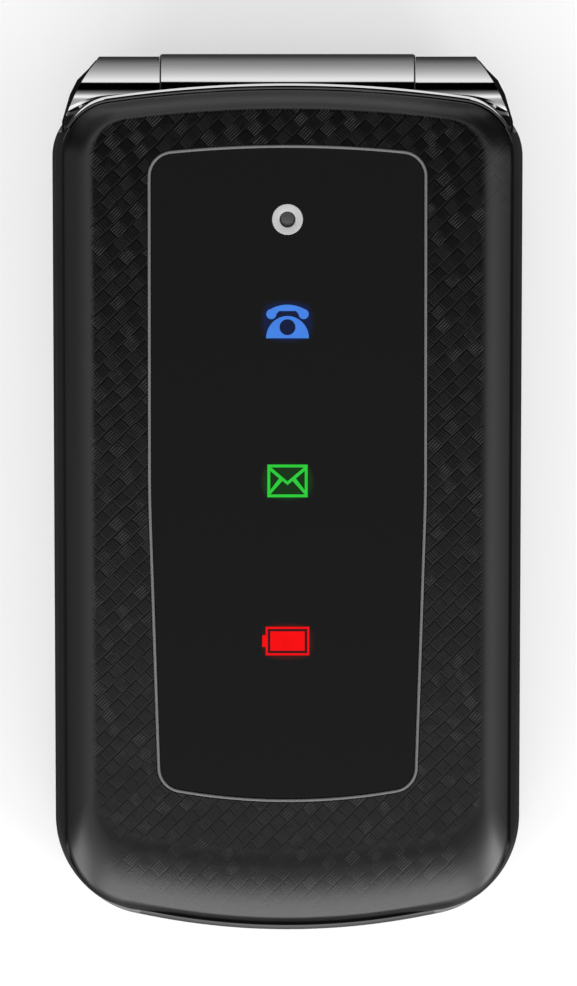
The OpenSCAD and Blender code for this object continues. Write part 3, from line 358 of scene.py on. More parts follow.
def lathe_x(name, profile, steps):
    """A turned solid along the hinge axis, from (x, radius) pairs."""
    turns = [2 * math.pi * i / steps for i in range(steps)]
    return loft(name, [[Vector((x, AXIS_Y + r * math.cos(a), AXIS_Z + r * math.sin(a))) for a in turns]
                       for x, r in profile])


def rod(r, x0, x1, steps=128):
    return lathe_x("rod", [(x0, r), (x1, r)], steps)


def lathe_z(name, profile, place, steps=96, smooth_angle=SMOOTH):
    """A turned solid along Z, from (radius, z) pairs."""
    return loft(name, [ring(circle(r, place, steps), z) for r, z in profile], smooth_angle)


def combine(target, tools, operation="DIFFERENCE", smooth_angle=SMOOTH):
    """Applies an exact Boolean with each tool in turn, and deletes the tools."""
    for tool in tools:
        modifier = target.modifiers.new("cut", "BOOLEAN")
        modifier.operation = operation
        modifier.solver = "EXACT"
        modifier.object = tool
        old, target.data = target.data, evaluated_mesh(target)
        target.modifiers.clear()
        bpy.data.meshes.remove(old)
        bpy.data.objects.remove(tool)
    with opened(target.data) as bm:
        bmesh.ops.remove_doubles(bm, verts=bm.verts, dist=1e-7)
        bmesh.ops.dissolve_degenerate(bm, edges=bm.edges, dist=1e-7)
    smooth(target.data, smooth_angle)
    return target


def close_tube(obj):
    """Turns a loft with two end faces into a ring, by joining its last outline to its first."""
    with opened(obj.data) as bm:
        ends = [f for f in bm.faces if len(f.verts) > 20]
        bmesh.ops.delete(bm, geom=ends, context="FACES_ONLY")
        bmesh.ops.bridge_loops(bm, edges=[e for e in bm.edges if len(e.link_faces) == 1])
        bmesh.ops.recalc_face_normals(bm, faces=bm.faces)
    smooth(obj.data)
    return obj


def join(name, parts):
    """One object from several."""
    bm = bmesh.new()
    for part in parts:
        bm.from_mesh(part.data)
        bpy.data.objects.remove(part)
    mesh = bpy.data.meshes.new(name)
    bm.to_mesh(mesh)
    bm.free()
    smooth(mesh)
    return add_object(name, mesh)


def mirrored(places):
    """Each place and its mirror image, left one first."""
    return [(sx * x, y) for x, y in places for sx in (-1, 1)]


def rect_prism(x0, x1, y0, y1, z0, z1):
    return prism(box_points(x0, x1, y0, y1), z0, z1)


def uprights(r, places, z0, z1):
    return prisms("uprights", [(circle(r, place), z0, z1) for place in places])


def across_prism(points, x0, x1):
    """A prism along X, from points given in the YZ plane."""
    return loft("across", [[Vector((x, p.x, p.y)) for p in points] for x in (x0, x1)])


# ---- Materials ----

class Graph:
    """Shorthand for the nodes of a material or of the world: each call adds a node and gives its output."""

    def __init__(self, tree):
        self.nodes, self.links = tree.nodes, tree.links

    def put(self, value, socket):
        """Links an output to a socket, or gives the socket a number or a colour."""
        if isinstance(value, bpy.types.NodeSocket):
            self.links.new(value, socket)
        else:
            socket.default_value = (*value, 1) if isinstance(value, tuple) else value

    def math(self, operation, *values):
        node = self.nodes.new("ShaderNodeMath")
        node.operation = operation
        for value, socket in zip(values, node.inputs):
            self.put(value, socket)
        return node.outputs[0]

    def fold(self, operation, values):
        result = values[0]
        for value in values[1:]:
            result = self.math(operation, result, value)
        return result

    def product(self, *values):
        return self.fold("MULTIPLY", values)

    def total(self, *values):
        return self.fold("ADD", values)

    def highest(self, *values):
        return self.fold("MAXIMUM", values)

    def minus(self, a, b):
        return self.math("SUBTRACT", a, b)

    def split(self, vector):
        node = self.nodes.new("ShaderNodeSeparateXYZ")
        self.links.new(vector, node.inputs[0])
        return node.outputs

    def remap(self, value, low, high, to_low=0, to_high=1, kind="LINEAR"):
        node = self.nodes.new("ShaderNodeMapRange")
        node.interpolation_type = kind
        for name, number in zip(("From Min", "From Max", "To Min", "To Max"), (low, high, to_low, to_high)):
            node.inputs[name].default_value = number
        self.links.new(value, node.inputs["Value"])
        return node.outputs[0]

    def fade(self, *numbers):
        """A remap that starts and ends smoothly."""
        return self.remap(*numbers, kind="SMOOTHSTEP")

    def blend(self, factor, a, b, kind="MIX"):
        """A blend of a and b, which are colours or outputs."""
        node = self.nodes.new("ShaderNodeMix")
        node.data_type = "RGBA"
        node.blend_type = kind
        self.put(factor, node.inputs["Factor"])
        for name, value in (("A", a), ("B", b)):
            self.put(value, [s for s in node.inputs if s.name == name and s.type == "RGBA"][0])
        return [s for s in node.outputs if s.type == "RGBA"][0]

    def ramp(self, value, stops):
        """Grey levels at stops along a value of 0 to 1."""
        node = self.nodes.new("ShaderNodeValToRGB")
        elements = node.color_ramp.elements
        elements.remove(elements[-1])
        for i, (at, level) in enumerate(stops):
            element = elements[0] if i == 0 else elements.new(at)
            element.position = at
            element.color = (level, level, level, 1)
        self.links.new(value, node.inputs[0])
        return node.outputs[0]


class Shader(Graph):
    """A node material with a Principled shader and object coordinates in millimetres."""

    def __init__(self, name, colour, roughness, metallic=0.0, specular=0.5):
        self.material = bpy.data.materials.new(name)
        self.material.use_nodes = True
        super().__init__(self.material.node_tree)
        self.bsdf = self.nodes["Principled BSDF"]
        self.set("Base Color", colour)
        self.set("Roughness", roughness)
        self.set("Metallic", metallic)
        self.set("Specular IOR Level", specular)
        scale = self.nodes.new("ShaderNodeVectorMath")
        scale.operation = "SCALE"
        scale.inputs["Scale"].default_value = 1 / MM
        self.links.new(self.nodes.new("ShaderNodeTexCoord").outputs["Object"], scale.inputs[0])
        self.place = scale.outputs[0]

    def set(self, name, value):
        self.put(value, self.bsdf.inputs[name])

    def axes(self):
        return self.split(self.place)

    def noise(self, size, detail, roughness=0.5, stretch=None):
        """Noise of about that feature size in millimetres, around 0.5."""
        node = self.nodes.new("ShaderNodeTexNoise")
        node.inputs["Scale"].default_value = 1 / size
        node.inputs["Detail"].default_value = detail
        node.inputs["Roughness"].default_value = roughness
        vector = self.place
        if stretch:
            mapping = self.nodes.new("ShaderNodeMapping")
            mapping.inputs["Scale"].default_value = stretch
            self.links.new(vector, mapping.inputs["Vector"])
            vector = mapping.outputs[0]
        self.links.new(vector, node.inputs["Vector"])
        return node.outputs["Fac"]

    def bump(self, height, depth):
        """Bump from a height of 0 to 1, that many millimetres deep."""
        node = self.nodes.new("ShaderNodeBump")
        node.inputs["Distance"].default_value = depth * MM
        self.links.new(height, node.inputs["Height"])
        self.set("Normal", node.outputs[0])


def plastic(name, colour, roughness, grain, depth, specular=0.5, vary=0.25):
    """Moulded plastic: fine grain in its relief, and slow drifts of tone and gloss."""
    s = Shader(name, colour, roughness, specular=specular)
    darker = tuple(c * (1 - vary) for c in colour)
    lighter = tuple(c * (1 + vary) for c in colour)
    s.set("Base Color", s.blend(s.noise(14, 3), darker, lighter))
    s.set("Roughness", s.remap(s.noise(6, 2), 0.3, 0.7, roughness * 0.92, roughness * 1.08))
    s.bump(s.noise(grain, 2), depth)
    return s.material


def metal(name, colour, roughness, brush=None, depth=0.001):
    """Metal or plating: slow drifts of gloss, or brushed lines where brush gives their stretch."""
    s = Shader(name, colour, roughness, metallic=1.0)
    lines = s.noise(0.12, 2, stretch=brush) if brush else s.noise(3, 3)
    spread = 0.35 if brush else 0.2
    s.set("Roughness", s.remap(lines, 0.3, 0.7, roughness * (1 - spread), roughness * (1 + spread)))
    s.set("Base Color", s.blend(s.noise(20, 2), tuple(c * 0.96 for c in colour), colour))
    if depth:
        s.bump(lines, depth)
    return s.material


def lit_mark(name, colour, strength):
    """A mark that glows through the cover window."""
    s = Shader(name, tuple(c * 0.05 for c in colour), 0.3, specular=0.1)
    s.set("Emission Color", colour)
    s.set("Emission Strength", s.remap(s.noise(1.6, 1), 0.2, 0.8, strength * 0.93, strength * 1.05))
    return s.material


def weave():
    """Black lid lacquer over a diagonal basket weave of fine ribs, which grows faint on the bevel; the ribs' glints
    and a sheen on the bevel at the hinge end are painted into the base colour.
    """
    s = Shader("lid_weave", (0.002, 0.002, 0.002), 0.28, specular=0.42)
    x, y, z = s.axes()
    tile, rib = 1.55, 0.3
    diagonal = math.sqrt(0.5) / tile
    waver = s.remap(s.noise(5, 2), 0.2, 0.8, -0.14, 0.14)
    u = s.total(s.product(s.total(x, y), diagonal), waver)
    v = s.total(s.product(s.minus(y, x), diagonal), s.product(waver, -0.6))
    row = s.math("FLOOR", v)
    shifted = s.total(u, s.product(row, 0.5))
    column = s.math("FLOOR", shifted)
    kind = s.math("PINGPONG", s.total(row, column), 1)

    def lines(value):
        return s.fade(s.math("SINE", s.product(value, 2 * math.pi * tile / rib)), -0.2, 1)

    def seam(value, width):
        off = s.math("ABSOLUTE", s.minus(s.math("FRACT", value), 0.5))
        return s.fade(off, 0.5 - width, 0.5)

    seams = s.highest(seam(v, 0.13), s.product(seam(shifted, 0.1), 0.7))
    ribs = s.total(s.product(lines(v), kind), s.product(lines(u), s.product(s.minus(1, kind), 0.35)))
    ribs = s.product(ribs, s.minus(1, seams))
    # The ribs' painted glints: each tile has its own strength of them, and so has each patch of several tiles
    cell = s.nodes.new("ShaderNodeCombineXYZ")
    s.links.new(row, cell.inputs[0])
    s.links.new(column, cell.inputs[1])
    shade = s.nodes.new("ShaderNodeTexWhiteNoise")
    shade.noise_dimensions = "3D"
    s.links.new(cell.outputs[0], shade.inputs["Vector"])
    each = s.fade(shade.outputs["Value"], 0.1, 0.9, 0.1, 1)
    patchy_glints = s.remap(s.noise(1.6, 3, 0.65), 0.38, 0.64, 0.1, 1.15)
    # The weave shows on the flat top, on the chin's bevel and on the bevel's right corner at the hinge
    flat = s.fade(z, TOP_Z - 0.12, TOP_Z - 0.01)
    chin = s.product(s.fade(z, TOP_Z - 2.9, TOP_Z - 1.3), s.fade(s.math("ABSOLUTE", x), 19, 24, 0.8, 0),
                     s.fade(y, CHIN_Y + 10, CHIN_Y + 14, 1, 0))
    corner = s.product(s.fade(x, 13, 19, 0, 0.8), s.fade(z, TOP_Z - 2.6, TOP_Z - 1.6),
                       s.fade(y, AXIS_Y - 18, AXIS_Y - 12))
    lower = s.fade(y, CHIN_Y + 5, CHIN_Y + 15, 0.6, 1)
    faint = s.fade(z, TOP_Z - 1.2, TOP_Z - 0.4, 0.3, 0.9)
    drawn = s.product(s.highest(flat, chin, corner), lower)
    raised = s.product(s.highest(flat, s.product(chin, faint), s.product(corner, 0.7)), lower)
    # Painted glints: the ribs are painted lighter than the black between them in the base colour
    face = s.blend(s.product(ribs, drawn, each, patchy_glints), (0.0015, 0.0015, 0.0015), (0.034, 0.034, 0.0345))
    # A painted sheen: the bevel at the hinge end is painted a lighter grey in the base colour, apart from its right
    # corner
    grey = s.product(s.fade(y, AXIS_Y - 7, AXIS_Y - 1.5), s.fade(x, -26.2, -24.2), s.fade(x, 13, 22, 1, 0),
                     s.fade(z, TOP_Z - 0.1, TOP_Z - 0.005, 1, 0))
    s.set("Base Color", s.blend(grey, face, (0.036, 0.036, 0.037)))
    s.set("Roughness", s.math("MINIMUM", s.fade(z, TOP_Z - 0.3, TOP_Z - 0.005, 0.28, 0.2),
                              s.fade(z, SHOULDER_Z - 0.3, SHOULDER_Z + 0.2, 0.12, 0.28)))
    # In millimetres: ribs and seams, fine grain, and a crown so slight that only the reflections show it
    s.bump(s.total(s.product(s.minus(ribs, seams), raised, 0.012), s.product(s.noise(0.2, 2), 0.002),
                   s.product(y, y, -0.0007)), 1.0)
    return s.material


def window_glass():
    """Tinted black glass, with the glow of each lit mark spreading round it."""
    s = Shader("window_glass", (0.0015, 0.0015, 0.0015), 0.04)
    s.set("Roughness", s.remap(s.noise(12, 3), 0.3, 0.7, 0.03, 0.06))
    x, y, z = s.axes()
    glow, half_w = (0, 0, 0), 2.95
    halos = (((0.0, 0.005, 0.042), 2.35), ((0.0, 0.026, 0.0), 2.1), ((0.036, 0.0, 0.0), 2.1))
    for i, (colour, half_h) in enumerate(halos):
        dx = s.math("DIVIDE", x, half_w)
        dy = s.math("DIVIDE", s.minus(y, CALL_Y - i * MARK_PITCH), half_h)
        # Between a box and an ellipse
        box = s.highest(s.math("ABSOLUTE", dx), s.math("ABSOLUTE", dy))
        ellipse = s.math("SQRT", s.total(s.product(dx, dx), s.product(dy, dy)))
        near = s.fade(s.total(s.product(box, 0.5), s.product(ellipse, 0.5)), 0.88, 1.14, 1, 0)
        glow = s.blend(1, glow, s.blend(near, (0, 0, 0), colour), "ADD")
    s.set("Emission Color", glow)
    s.set("Emission Strength", 1.0)
    return s.material


def display_glass():
    """Gloss window over the display: a printed black border round the slightly lighter visible area."""
    s = Shader("display_glass", (0.002, 0.002, 0.002), 0.05)
    s.set("Roughness", s.remap(s.noise(12, 3), 0.3, 0.7, 0.035, 0.06))
    x, y, z = s.axes()
    beside = s.minus(s.math("ABSOLUTE", x), DISPLAY_W / 2)
    beyond = s.minus(s.math("ABSOLUTE", s.minus(y, DISPLAY_Y)), DISPLAY_L / 2)
    outside = s.remap(s.highest(beside, beyond), -0.08, 0.02)
    s.set("Base Color", s.blend(outside, (0.012, 0.014, 0.019), (0.0015, 0.0015, 0.0015)))
    return s.material


MATERIALS = {
    "weave": weave(),
    "black": plastic("black_shell", (0.012, 0.012, 0.0125), 0.4, grain=0.2, depth=0.005, specular=0.3),
    "face": plastic("keypad_face", (0.023, 0.023, 0.0235), 0.36, grain=0.15, depth=0.003, specular=0.2),
    "ear": plastic("hinge_ear", (0.004, 0.004, 0.004), 0.4, grain=0.15, depth=0.003, specular=0.08),
    "inner": plastic("inner_shell", (0.008, 0.008, 0.0085), 0.16, grain=0.6, depth=0.001),
    "key": plastic("key_plastic", (0.016, 0.016, 0.017), 0.32, grain=0.15, depth=0.002, specular=0.45),
    "legend": plastic("legend_white", (0.75, 0.75, 0.73), 0.45, grain=0.1, depth=0.001, vary=0.04),
    "legend_green": plastic("legend_green", (0.03, 0.5, 0.07), 0.45, grain=0.1, depth=0.001, vary=0.06),
    "legend_red": plastic("legend_red", (0.6, 0.02, 0.02), 0.45, grain=0.1, depth=0.001, vary=0.06),
    "rubber": plastic("rubber", (0.02, 0.02, 0.02), 0.7, grain=0.1, depth=0.004, specular=0.2),
    "block": plastic("contact_block", (0.018, 0.018, 0.018), 0.5, grain=0.2, depth=0.003),
    "mat": plastic("silicone_mat", (0.5, 0.5, 0.47), 0.55, grain=0.3, depth=0.003, vary=0.05),
    "board": plastic("circuit_board", (0.01, 0.09, 0.035), 0.3, grain=0.5, depth=0.004, vary=0.3),
    "label": plastic("battery_label", (0.06, 0.065, 0.075), 0.4, grain=0.4, depth=0.002, vary=0.1),
    "flex": plastic("flex_film", (0.42, 0.18, 0.03), 0.3, grain=0.4, depth=0.002, vary=0.1),
    "display": plastic("display_panel", (0.012, 0.014, 0.018), 0.2, grain=0.08, depth=0.0005, vary=0.1),
    "trim_grey": plastic("window_trim", (0.16, 0.16, 0.162), 0.4, grain=0.3, depth=0.001, vary=0.06),
    "ring": plastic("camera_ring", (0.5, 0.5, 0.5), 0.4, grain=0.3, depth=0.002, vary=0.05, specular=0.3),
    "lens": plastic("camera_lens", (0.07, 0.07, 0.074), 0.15, grain=0.6, depth=0.0003, vary=0.3),
    "speaker": plastic("speaker_cloth", (0.02, 0.02, 0.021), 0.8, grain=0.12, depth=0.03, specular=0.2),
    "chrome": metal("chrome", (0.86, 0.86, 0.87), 0.05, depth=0),
    "steel": metal("steel", (0.56, 0.56, 0.57), 0.26, brush=(0.15, 1, 1)),
    "nav": metal("nav_metal", (0.5, 0.5, 0.52), 0.28, brush=(0.12, 1, 1)),
    "brass": metal("antenna_metal", (0.72, 0.5, 0.26), 0.3, brush=(1, 0.12, 1)),
    "glass": window_glass(),
    "display_glass": display_glass(),
    "call": lit_mark("call_blue", (0.07, 0.26, 0.9), 0.82),
    "message": lit_mark("message_green", (0.03, 0.7, 0.05), 0.82),
    "battery_mark": lit_mark("battery_red", (1.0, 0.003, 0.005), 0.88),
}


def dress(obj, material, body=None, replaces=()):
    """Gives a piece its material and body, and hides the nodes that it stands for."""
    obj.data.materials.clear()
    obj.data.materials.append(MATERIALS[material])
    if body:
        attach(obj, body)
        # Shading normals follow the large faces, so that small edge rounds don't bend the flats
        modifier = obj.modifiers.new("weighted", "WEIGHTED_NORMAL")
        modifier.keep_sharp = True
        modifier.weight = 60
    if replaces:
        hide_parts(*replaces)


# ---- Lid ----

def bevel(t):
    """Share of the bevel's height at share t of its width."""
    return math.sin(BEVEL_TURN * t) / math.sin(BEVEL_TURN)


def lid_ring(d, t, drop=0.0):
    """A ring of the lid, d inside it, at share t from its outline to its flat top.

    It is lowered by drop, and by less at the chin's corners.
    """
    points = mix(outline(inset(LID_OUTLINE, d)), outline(inset(LID_FLAT, 0.4 * d)), t)
    z = SHOULDER_Z - d + BEVEL_DROP * bevel(t)

    def lowered(p):
        return drop * (1 - 0.65 * clamp((abs(p.x) - 13) / 5) * clamp((-38 - p.y) / 5))

    return [Vector((p.x, p.y, z - lowered(p))) for p in points]


def lid_shell():
    """Hollow shell: ceiling, inside wall, rim, outside wall, rounded shoulder, bevel and flat top."""
    edge_r, edge_share = 0.4, 0.11
    rings = [lid_ring(LID_WALL, t) for t in (1, 0.66, 0.33, 0)]
    rings += contours(LID_OUTLINE, (
        (LID_WALL, LID_PART_Z), (0.08, LID_PART_Z), (0, LID_PART_Z + 0.08), (0, SHOULDER_Z - edge_r)))
    shares = [0, 0.01, 0.022, 0.036, 0.05, 0.065, 0.08, 0.095, edge_share, 0.14, 0.2, 0.27, 0.35, 0.44, 0.53,
              0.62, 0.71, 0.8, 0.88, 0.95, 1]
    rings += [lid_ring(0, t, edge_r * max(0.0, 1 - t / edge_share) ** 2) for t in shares]
    rings += contours(LID_FLAT, [(0.2, TOP_Z)])
    lid = loft("lid_shell", rings)
    combine(lid, [
        rod(BARREL_R + LID_HINGE_GAP, -HALF_W, HALF_W),
        prism(outline(inset(WINDOW, -0.25)), TOP_Z - 0.9, TOP_Z + PAST),
    ])
    dress(lid, "weave", "flip", ["flip_outer_housing"])


def lid_trim():
    """The chrome crescent along the hinge end, rounded so that it falls toward its outer edge."""
    raised = [[x, y + (EDGE_TRIM_W if y > 0 else 0), r, steps] for x, y, r, steps in LID_OUTLINE]
    inner, outer = outline(inset(LID_OUTLINE, -0.02)), outline(raised)
    low, z, share = SHOULDER_Z - EDGE_TRIM_H, SHOULDER_Z - 0.02, 0.02
    rings = [ring(inner, low), ring(inner, z - 0.06), ring(mix(inner, outer, share), z)]
    # Steps of the width, and how many degrees the face falls in each
    for step, tilt in ((0.16, 1.5), (0.18, 3.0), (0.16, 4.5), (0.16, 16.0), (0.16, 19.0), (0.16, 23.0)):
        share += step
        z -= step * EDGE_TRIM_W * math.tan(math.radians(tilt))
        rings.append(ring(mix(inner, outer, share), z))
    rings.append(ring(outer, low))
    trim = close_tube(loft("lid_end_trim", rings))
    combine(trim, [
        rect_prism(-HALF_W - PAST, HALF_W + PAST, CHIN_Y - 5, AXIS_Y - 4.2, 0, TOP_Z + PAST),
        rod(BARREL_R + LID_HINGE_GAP, -HALF_W, HALF_W, HINGE_STEPS),
    ], smooth_angle=12)
    dress(trim, "chrome", "flip", ["flip_trim"])


def cover_window():
    """The window's pane with its camera bore, and the grey trim round it."""
    low = TOP_Z - 0.8
    pane = loft("window_pane", contours(WINDOW, (
        (0.25, low), (0.25, MARK_Z - 0.06), (0.31, MARK_Z), (0.5, MARK_Z))))
    combine(pane, [prism(circle(1.9, (0, CAMERA_Y)), TOP_Z - 2, TOP_Z + PAST)])
    dress(pane, "glass", "flip", ["cover_window"])
    rim = close_tube(loft("window_rim", contours(WINDOW, (
        (0.2, low), (-0.2, low), (-0.18, TOP_Z - 0.14), (-0.13, TOP_Z - 0.05), (-0.05, TOP_Z), (0.07, TOP_Z),
        (0.15, TOP_Z - 0.06), (0.19, TOP_Z - 0.16)))))
    dress(rim, "trim_grey", "flip", ["window_trim"])


def lid_camera():
    """The camera's ring and its domed lens."""
    low, hole_r, ring_r = TOP_Z - 0.8, 0.94, 1.84
    bezel = close_tube(lathe_z("camera_bezel", [
        (hole_r, low), (ring_r, low), (ring_r, MARK_Z), (ring_r - 0.04, MARK_Z + 0.05), (1.12, MARK_Z + 0.05),
        (0.99, MARK_Z), (hole_r, MARK_Z - 0.12),
    ], (0, CAMERA_Y)))
    dress(bezel, "ring", "flip", ["camera_ring"])
    dome = lathe_z("camera_dome", [
        (0.89, low), (0.89, TOP_Z - 0.6), (0.8, TOP_Z - 0.5), (0.6, TOP_Z - 0.43), (0.3, TOP_Z - 0.405),
        (0.02, TOP_Z - 0.4),
    ], (0, CAMERA_Y), smooth_angle=60)
    dress(dome, "lens", "flip", ["camera_lens"])


def call_mark():
    """A telephone: a domed body with a round dial, under a handset with rounded ends."""
    low, high = MARK_Z, TOP_Z

    def at(points):
        return [Vector((x, CALL_Y + y)) for x, y in points]

    turns = [math.pi * i / 40 for i in range(41)]
    body = prism(at([(2.55 * math.cos(a), -2.0 + 2.65 * math.sin(a)) for a in turns]), low, high)
    combine(body, [prism(circle(0.95, (0, CALL_Y - 0.68)), low - PAST, high + PAST)])
    arc_r, reach = 4.2, math.radians(33)
    turns = [reach * (1 - i / 12) for i in range(25)]
    bar = [(arc_r * math.sin(a), 2.0 - arc_r * (1 - math.cos(a))) for a in turns]
    bar += [(-1.45, 0.75), (-1.0, 1.25), (1.0, 1.25), (1.45, 0.75)]
    handset_bar = prism(at(bar), low, high)
    lobes = [prism(circle(0.6, (side * 1.93, CALL_Y + 0.88)), low, high) for side in (-1, 1)]
    combine(handset_bar, lobes, "UNION")
    dress(join("telephone_mark", [body, handset_bar]), "call", "flip", ["call_indicator"])


def hinge():
    """The chrome barrel, and a dark washer beyond each of its ends."""
    def drum(name, x0, x1, bore, r):
        return lathe_x(name, [(x0, bore), (x0, r), (x1, r), (x1, bore)], HINGE_STEPS)

    dress(drum("barrel", -BARREL_X, BARREL_X, 1.6, BARREL_R), "chrome", "flip", ["hinge_barrel"])
    for side in (-1, 1):
        washer = drum(f"hinge_washer_{side + 2}", side * (BARREL_X + 0.01), side * (LUG_X - 0.03), 1.7, LUG_R)
        dress(washer, "block", "flip")


lid_shell()
lid_trim()
cover_window()
lid_camera()
call_mark()
hinge()

# ---- Inside of the lid ----


def inner_housing():
    """The lid's inner plate, round its display window, with sound slots, screw holes and bumper seats."""
    plate = loft("lid_inner_plate", contours(LID_OUTLINE, (
        (0.75, LID_Z), (0.5, LID_Z + 0.05), (0.32, LID_Z + 0.18), (0.22, LID_Z + 0.4), (0.1, LID_PART_Z))))
    low, high = LID_Z - PAST, LID_PART_Z + PAST
    slots = [(round_rect(9 - 2 * abs(i), 0.7, 0.3, (0, EARPIECE_Y + i * 1.5)), low, high) for i in (-1, 0, 1)]
    combine(plate, [
        rod(BARREL_R + LID_HINGE_GAP, -HALF_W, HALF_W),
        prism(round_rect(DISPLAY_W + 0.8, DISPLAY_L + 0.8, 0.8, (0, DISPLAY_Y)), low, high),
        prism(round_rect(LENS_W + 0.2, LENS_L + 0.2, LENS_R + 0.1, (0, LENS_Y)), low, LENS_Z + LENS_T + 0.05),
        prisms("slots", slots),
        uprights(SCREW_R + SCREW_GAP, mirrored(LID_SCREWS), low, high),
        uprights(SCREW_HEAD_R + SCREW_GAP, mirrored(LID_SCREWS), low, LID_Z + 0.1 + SCREW_HEAD_H),
        uprights(BUMPER_R + 0.1, mirrored([BUMPER]), low, LID_Z + 0.2),
    ])
    dress(plate, "inner", "flip", ["flip_inner_housing"])


def display_pane():
    """The window over the inner display, with a rounded front edge."""
    pane = loft("display_pane", [
        ring(round_rect(LENS_W - 2 * d, LENS_L - 2 * d, LENS_R - d, (0, LENS_Y)), LENS_Z + rise)
        for d, rise in ((0.15, 0), (0.05, 0.05), (0, 0.15), (0, LENS_T))
    ])
    dress(pane, "display_glass", "flip", ["display_window"])


inner_housing()
display_pane()

# ---- Keypad half ----


def rear_ring(t, d=0.0):
    """A ring of the rear housing at share t of its height, inward by d and by the rounding of the back."""
    roll = BACK_ROLL * (1 - math.sqrt(max(0.0, 1 - (1 - t) ** 2)))
    return ring(outline(inset(BASE_OUTLINE, roll + d)), REAR_H * t)


def chin_share(y):
    """How much of its width the chin strip has at y: none at its ends, all of it round the chin."""
    return clamp((STRIP_END_Y - y) / 2.0) ** 0.8


def tapered(d, least=0.0):
    """The base outline moved inward by d round the chin, and by least past the two ends of the chrome strip."""
    outside, inside = outline(inset(BASE_OUTLINE, least)), outline(inset(BASE_OUTLINE, d))
    return [p.lerp(q, chin_share(p.y)) for p, q in zip(outside, inside)]


def chin_band(name, rings, end_y):
    """A closed band through those rings, of which the stretch round the chin is kept, as far as end_y."""
    band = close_tube(loft(name, rings))
    return combine(band, [rect_prism(-HALF_W - 3, HALF_W + 3, end_y, AXIS_Y + 9, 0, TOP_Z)])


def strip_cut(inner, top):
    """The space round the chin that the chrome strip takes, cut from the housings."""
    low, outer = CHIN_TRIM_LOW - 0.05, outline(inset(BASE_OUTLINE, -PAST))
    rings = [ring(inner, low), ring(inner, top), ring(outer, top), ring(outer, low)]
    return chin_band("band", rings, CHIN_TRIM_TOP_Y + 0.05)


def rear_body():
    """One skin up the outside and down the inside, with the battery bay and screw bosses on its floor."""
    outside = [0, 0.012, 0.03, 0.06, 0.1, 0.15, 0.22, 0.3, 0.4, 0.52, 0.66, 0.82, 1]
    inside = [1, 0.75, 0.55, 0.4, REAR_FLOOR / REAR_H]
    body = loft("rear_body", [rear_ring(t) for t in outside] + [rear_ring(t, BASE_WALL) for t in inside],
                ROUND_SMOOTH)
    bay_x = BATTERY_W / 2 + BATTERY_GAP + BAY_WALL
    bay_y = BATTERY_L / 2 + BATTERY_GAP + BAY_WALL
    boss_low, boss_high = REAR_FLOOR - 0.5, REAR_H - 0.1
    cradle = rod(BARREL_R + HINGE_GAP + 1.1, -LUG_X - 2, LUG_X + 2)
    combine(cradle, [rect_prism(-HALF_W, HALF_W, AXIS_Y - 26, AXIS_Y - 0.9, 0, REAR_H)], "INTERSECT")
    combine(body, [
        cradle,
        rect_prism(-bay_x, bay_x, BATTERY_Y - bay_y, BATTERY_Y + bay_y, boss_low, boss_high),
        uprights(SCREW_HEAD_R + 0.9, mirrored(BASE_SCREWS), boss_low, boss_high),
    ], "UNION", ROUND_SMOOTH)
    pocket = round_rect(BATTERY_W + 2 * BATTERY_GAP, BATTERY_L + 2 * BATTERY_GAP, 1.2, (0, BATTERY_Y))
    sim_y, sim_half, sim_x = BATTERY_Y + 8, 8.8, 13.8
    contact_x, contact_y = 5.3, BATTERY_Y + BATTERY_L / 2
    seat_x, seat_low, seat_high = COVER_W / 2 + COVER_GAP, CHIN_Y - PAST, COVER_TOP_Y + COVER_GAP
    slots = [(round_rect(1, 6 - abs(i), 0.45, (SPEAKER_X + 2.2 * i, SPEAKER_Y)), -PAST, REAR_FLOOR + PAST)
             for i in range(-2, 3)]
    combine(body, [
        prism(pocket, -PAST, BAY_ROOF_Z),
        rect_prism(-sim_x, sim_x, sim_y - sim_half, sim_y + sim_half, BAY_ROOF_Z - PAST, REAR_H + PAST),
        rect_prism(-contact_x, contact_x, contact_y - 1, contact_y + 3, REAR_FLOOR + 0.2, REAR_H + PAST),
        rect_prism(-seat_x, seat_x, seat_low, seat_high, -PAST, COVER_T + 0.1),
        rect_prism(-seat_x - TONGUE_W, seat_x + TONGUE_W, seat_low, seat_high, TONGUE_Z - COVER_GAP,
                   TONGUE_Z + TONGUE_T + COVER_GAP),
        prisms("slots", slots),
        across_prism(round_rect(8.1, 3.25, 0.9, (PORT_Y, REAR_H - 1.475)), -HALF_W - PAST, -HALF_W + 8),
        across_prism(circle(2.5, (PORT_Y, 4.45)), HALF_W - 4, HALF_W + PAST),
        *hinge_cuts(),
        uprights(SCREW_HEAD_R + SCREW_GAP, mirrored(BASE_SCREWS), -PAST, REAR_FLOOR + SCREW_HEAD_H),
        uprights(SCREW_R + SCREW_GAP, mirrored(BASE_SCREWS), -PAST, REAR_H + PAST),
    ], smooth_angle=ROUND_SMOOTH)
    dress(body, "black", "keypad_half", ["rear_housing"])


def hinge_cuts():
    """The room that both housings leave for the barrel and for the lugs."""
    return [rod(BARREL_R + HINGE_GAP, -LUG_X, LUG_X, HINGE_STEPS),
            rod(LUG_R + RUNNING_GAP, -HALF_W - PAST, HALF_W + PAST, HINGE_STEPS)]


def key_place(i):
    """The middle of number key i, counted in rows from the top left."""
    return ((i % 3 - 1) * KEY_PITCH_X, FIRST_ROW_Y - (i // 3) * KEY_PITCH_Y)


SIDE_KEYS = {
    "soft_key_left": (-SIDE_KEY_X, SOFT_KEY_Y),
    "soft_key_right": (SIDE_KEY_X, SOFT_KEY_Y),
    "call_key": (-SIDE_KEY_X, CALL_KEY_Y),
    "end_key": (SIDE_KEY_X, CALL_KEY_Y),
}

# Plan of the lug's outer end: x, y from the hinge axis, and the width of the black ear outside it
LUG_END = [(26.75, -8, 0.25), (26.75, -3.4, 0.21), (26.35, -2.4, 0.3), (25.4, -0.2, 0.6), (24.5, 1.5, 0.65),
           (23.62, 2.9, 0.15), (22.9, 3.9, 0.06)]


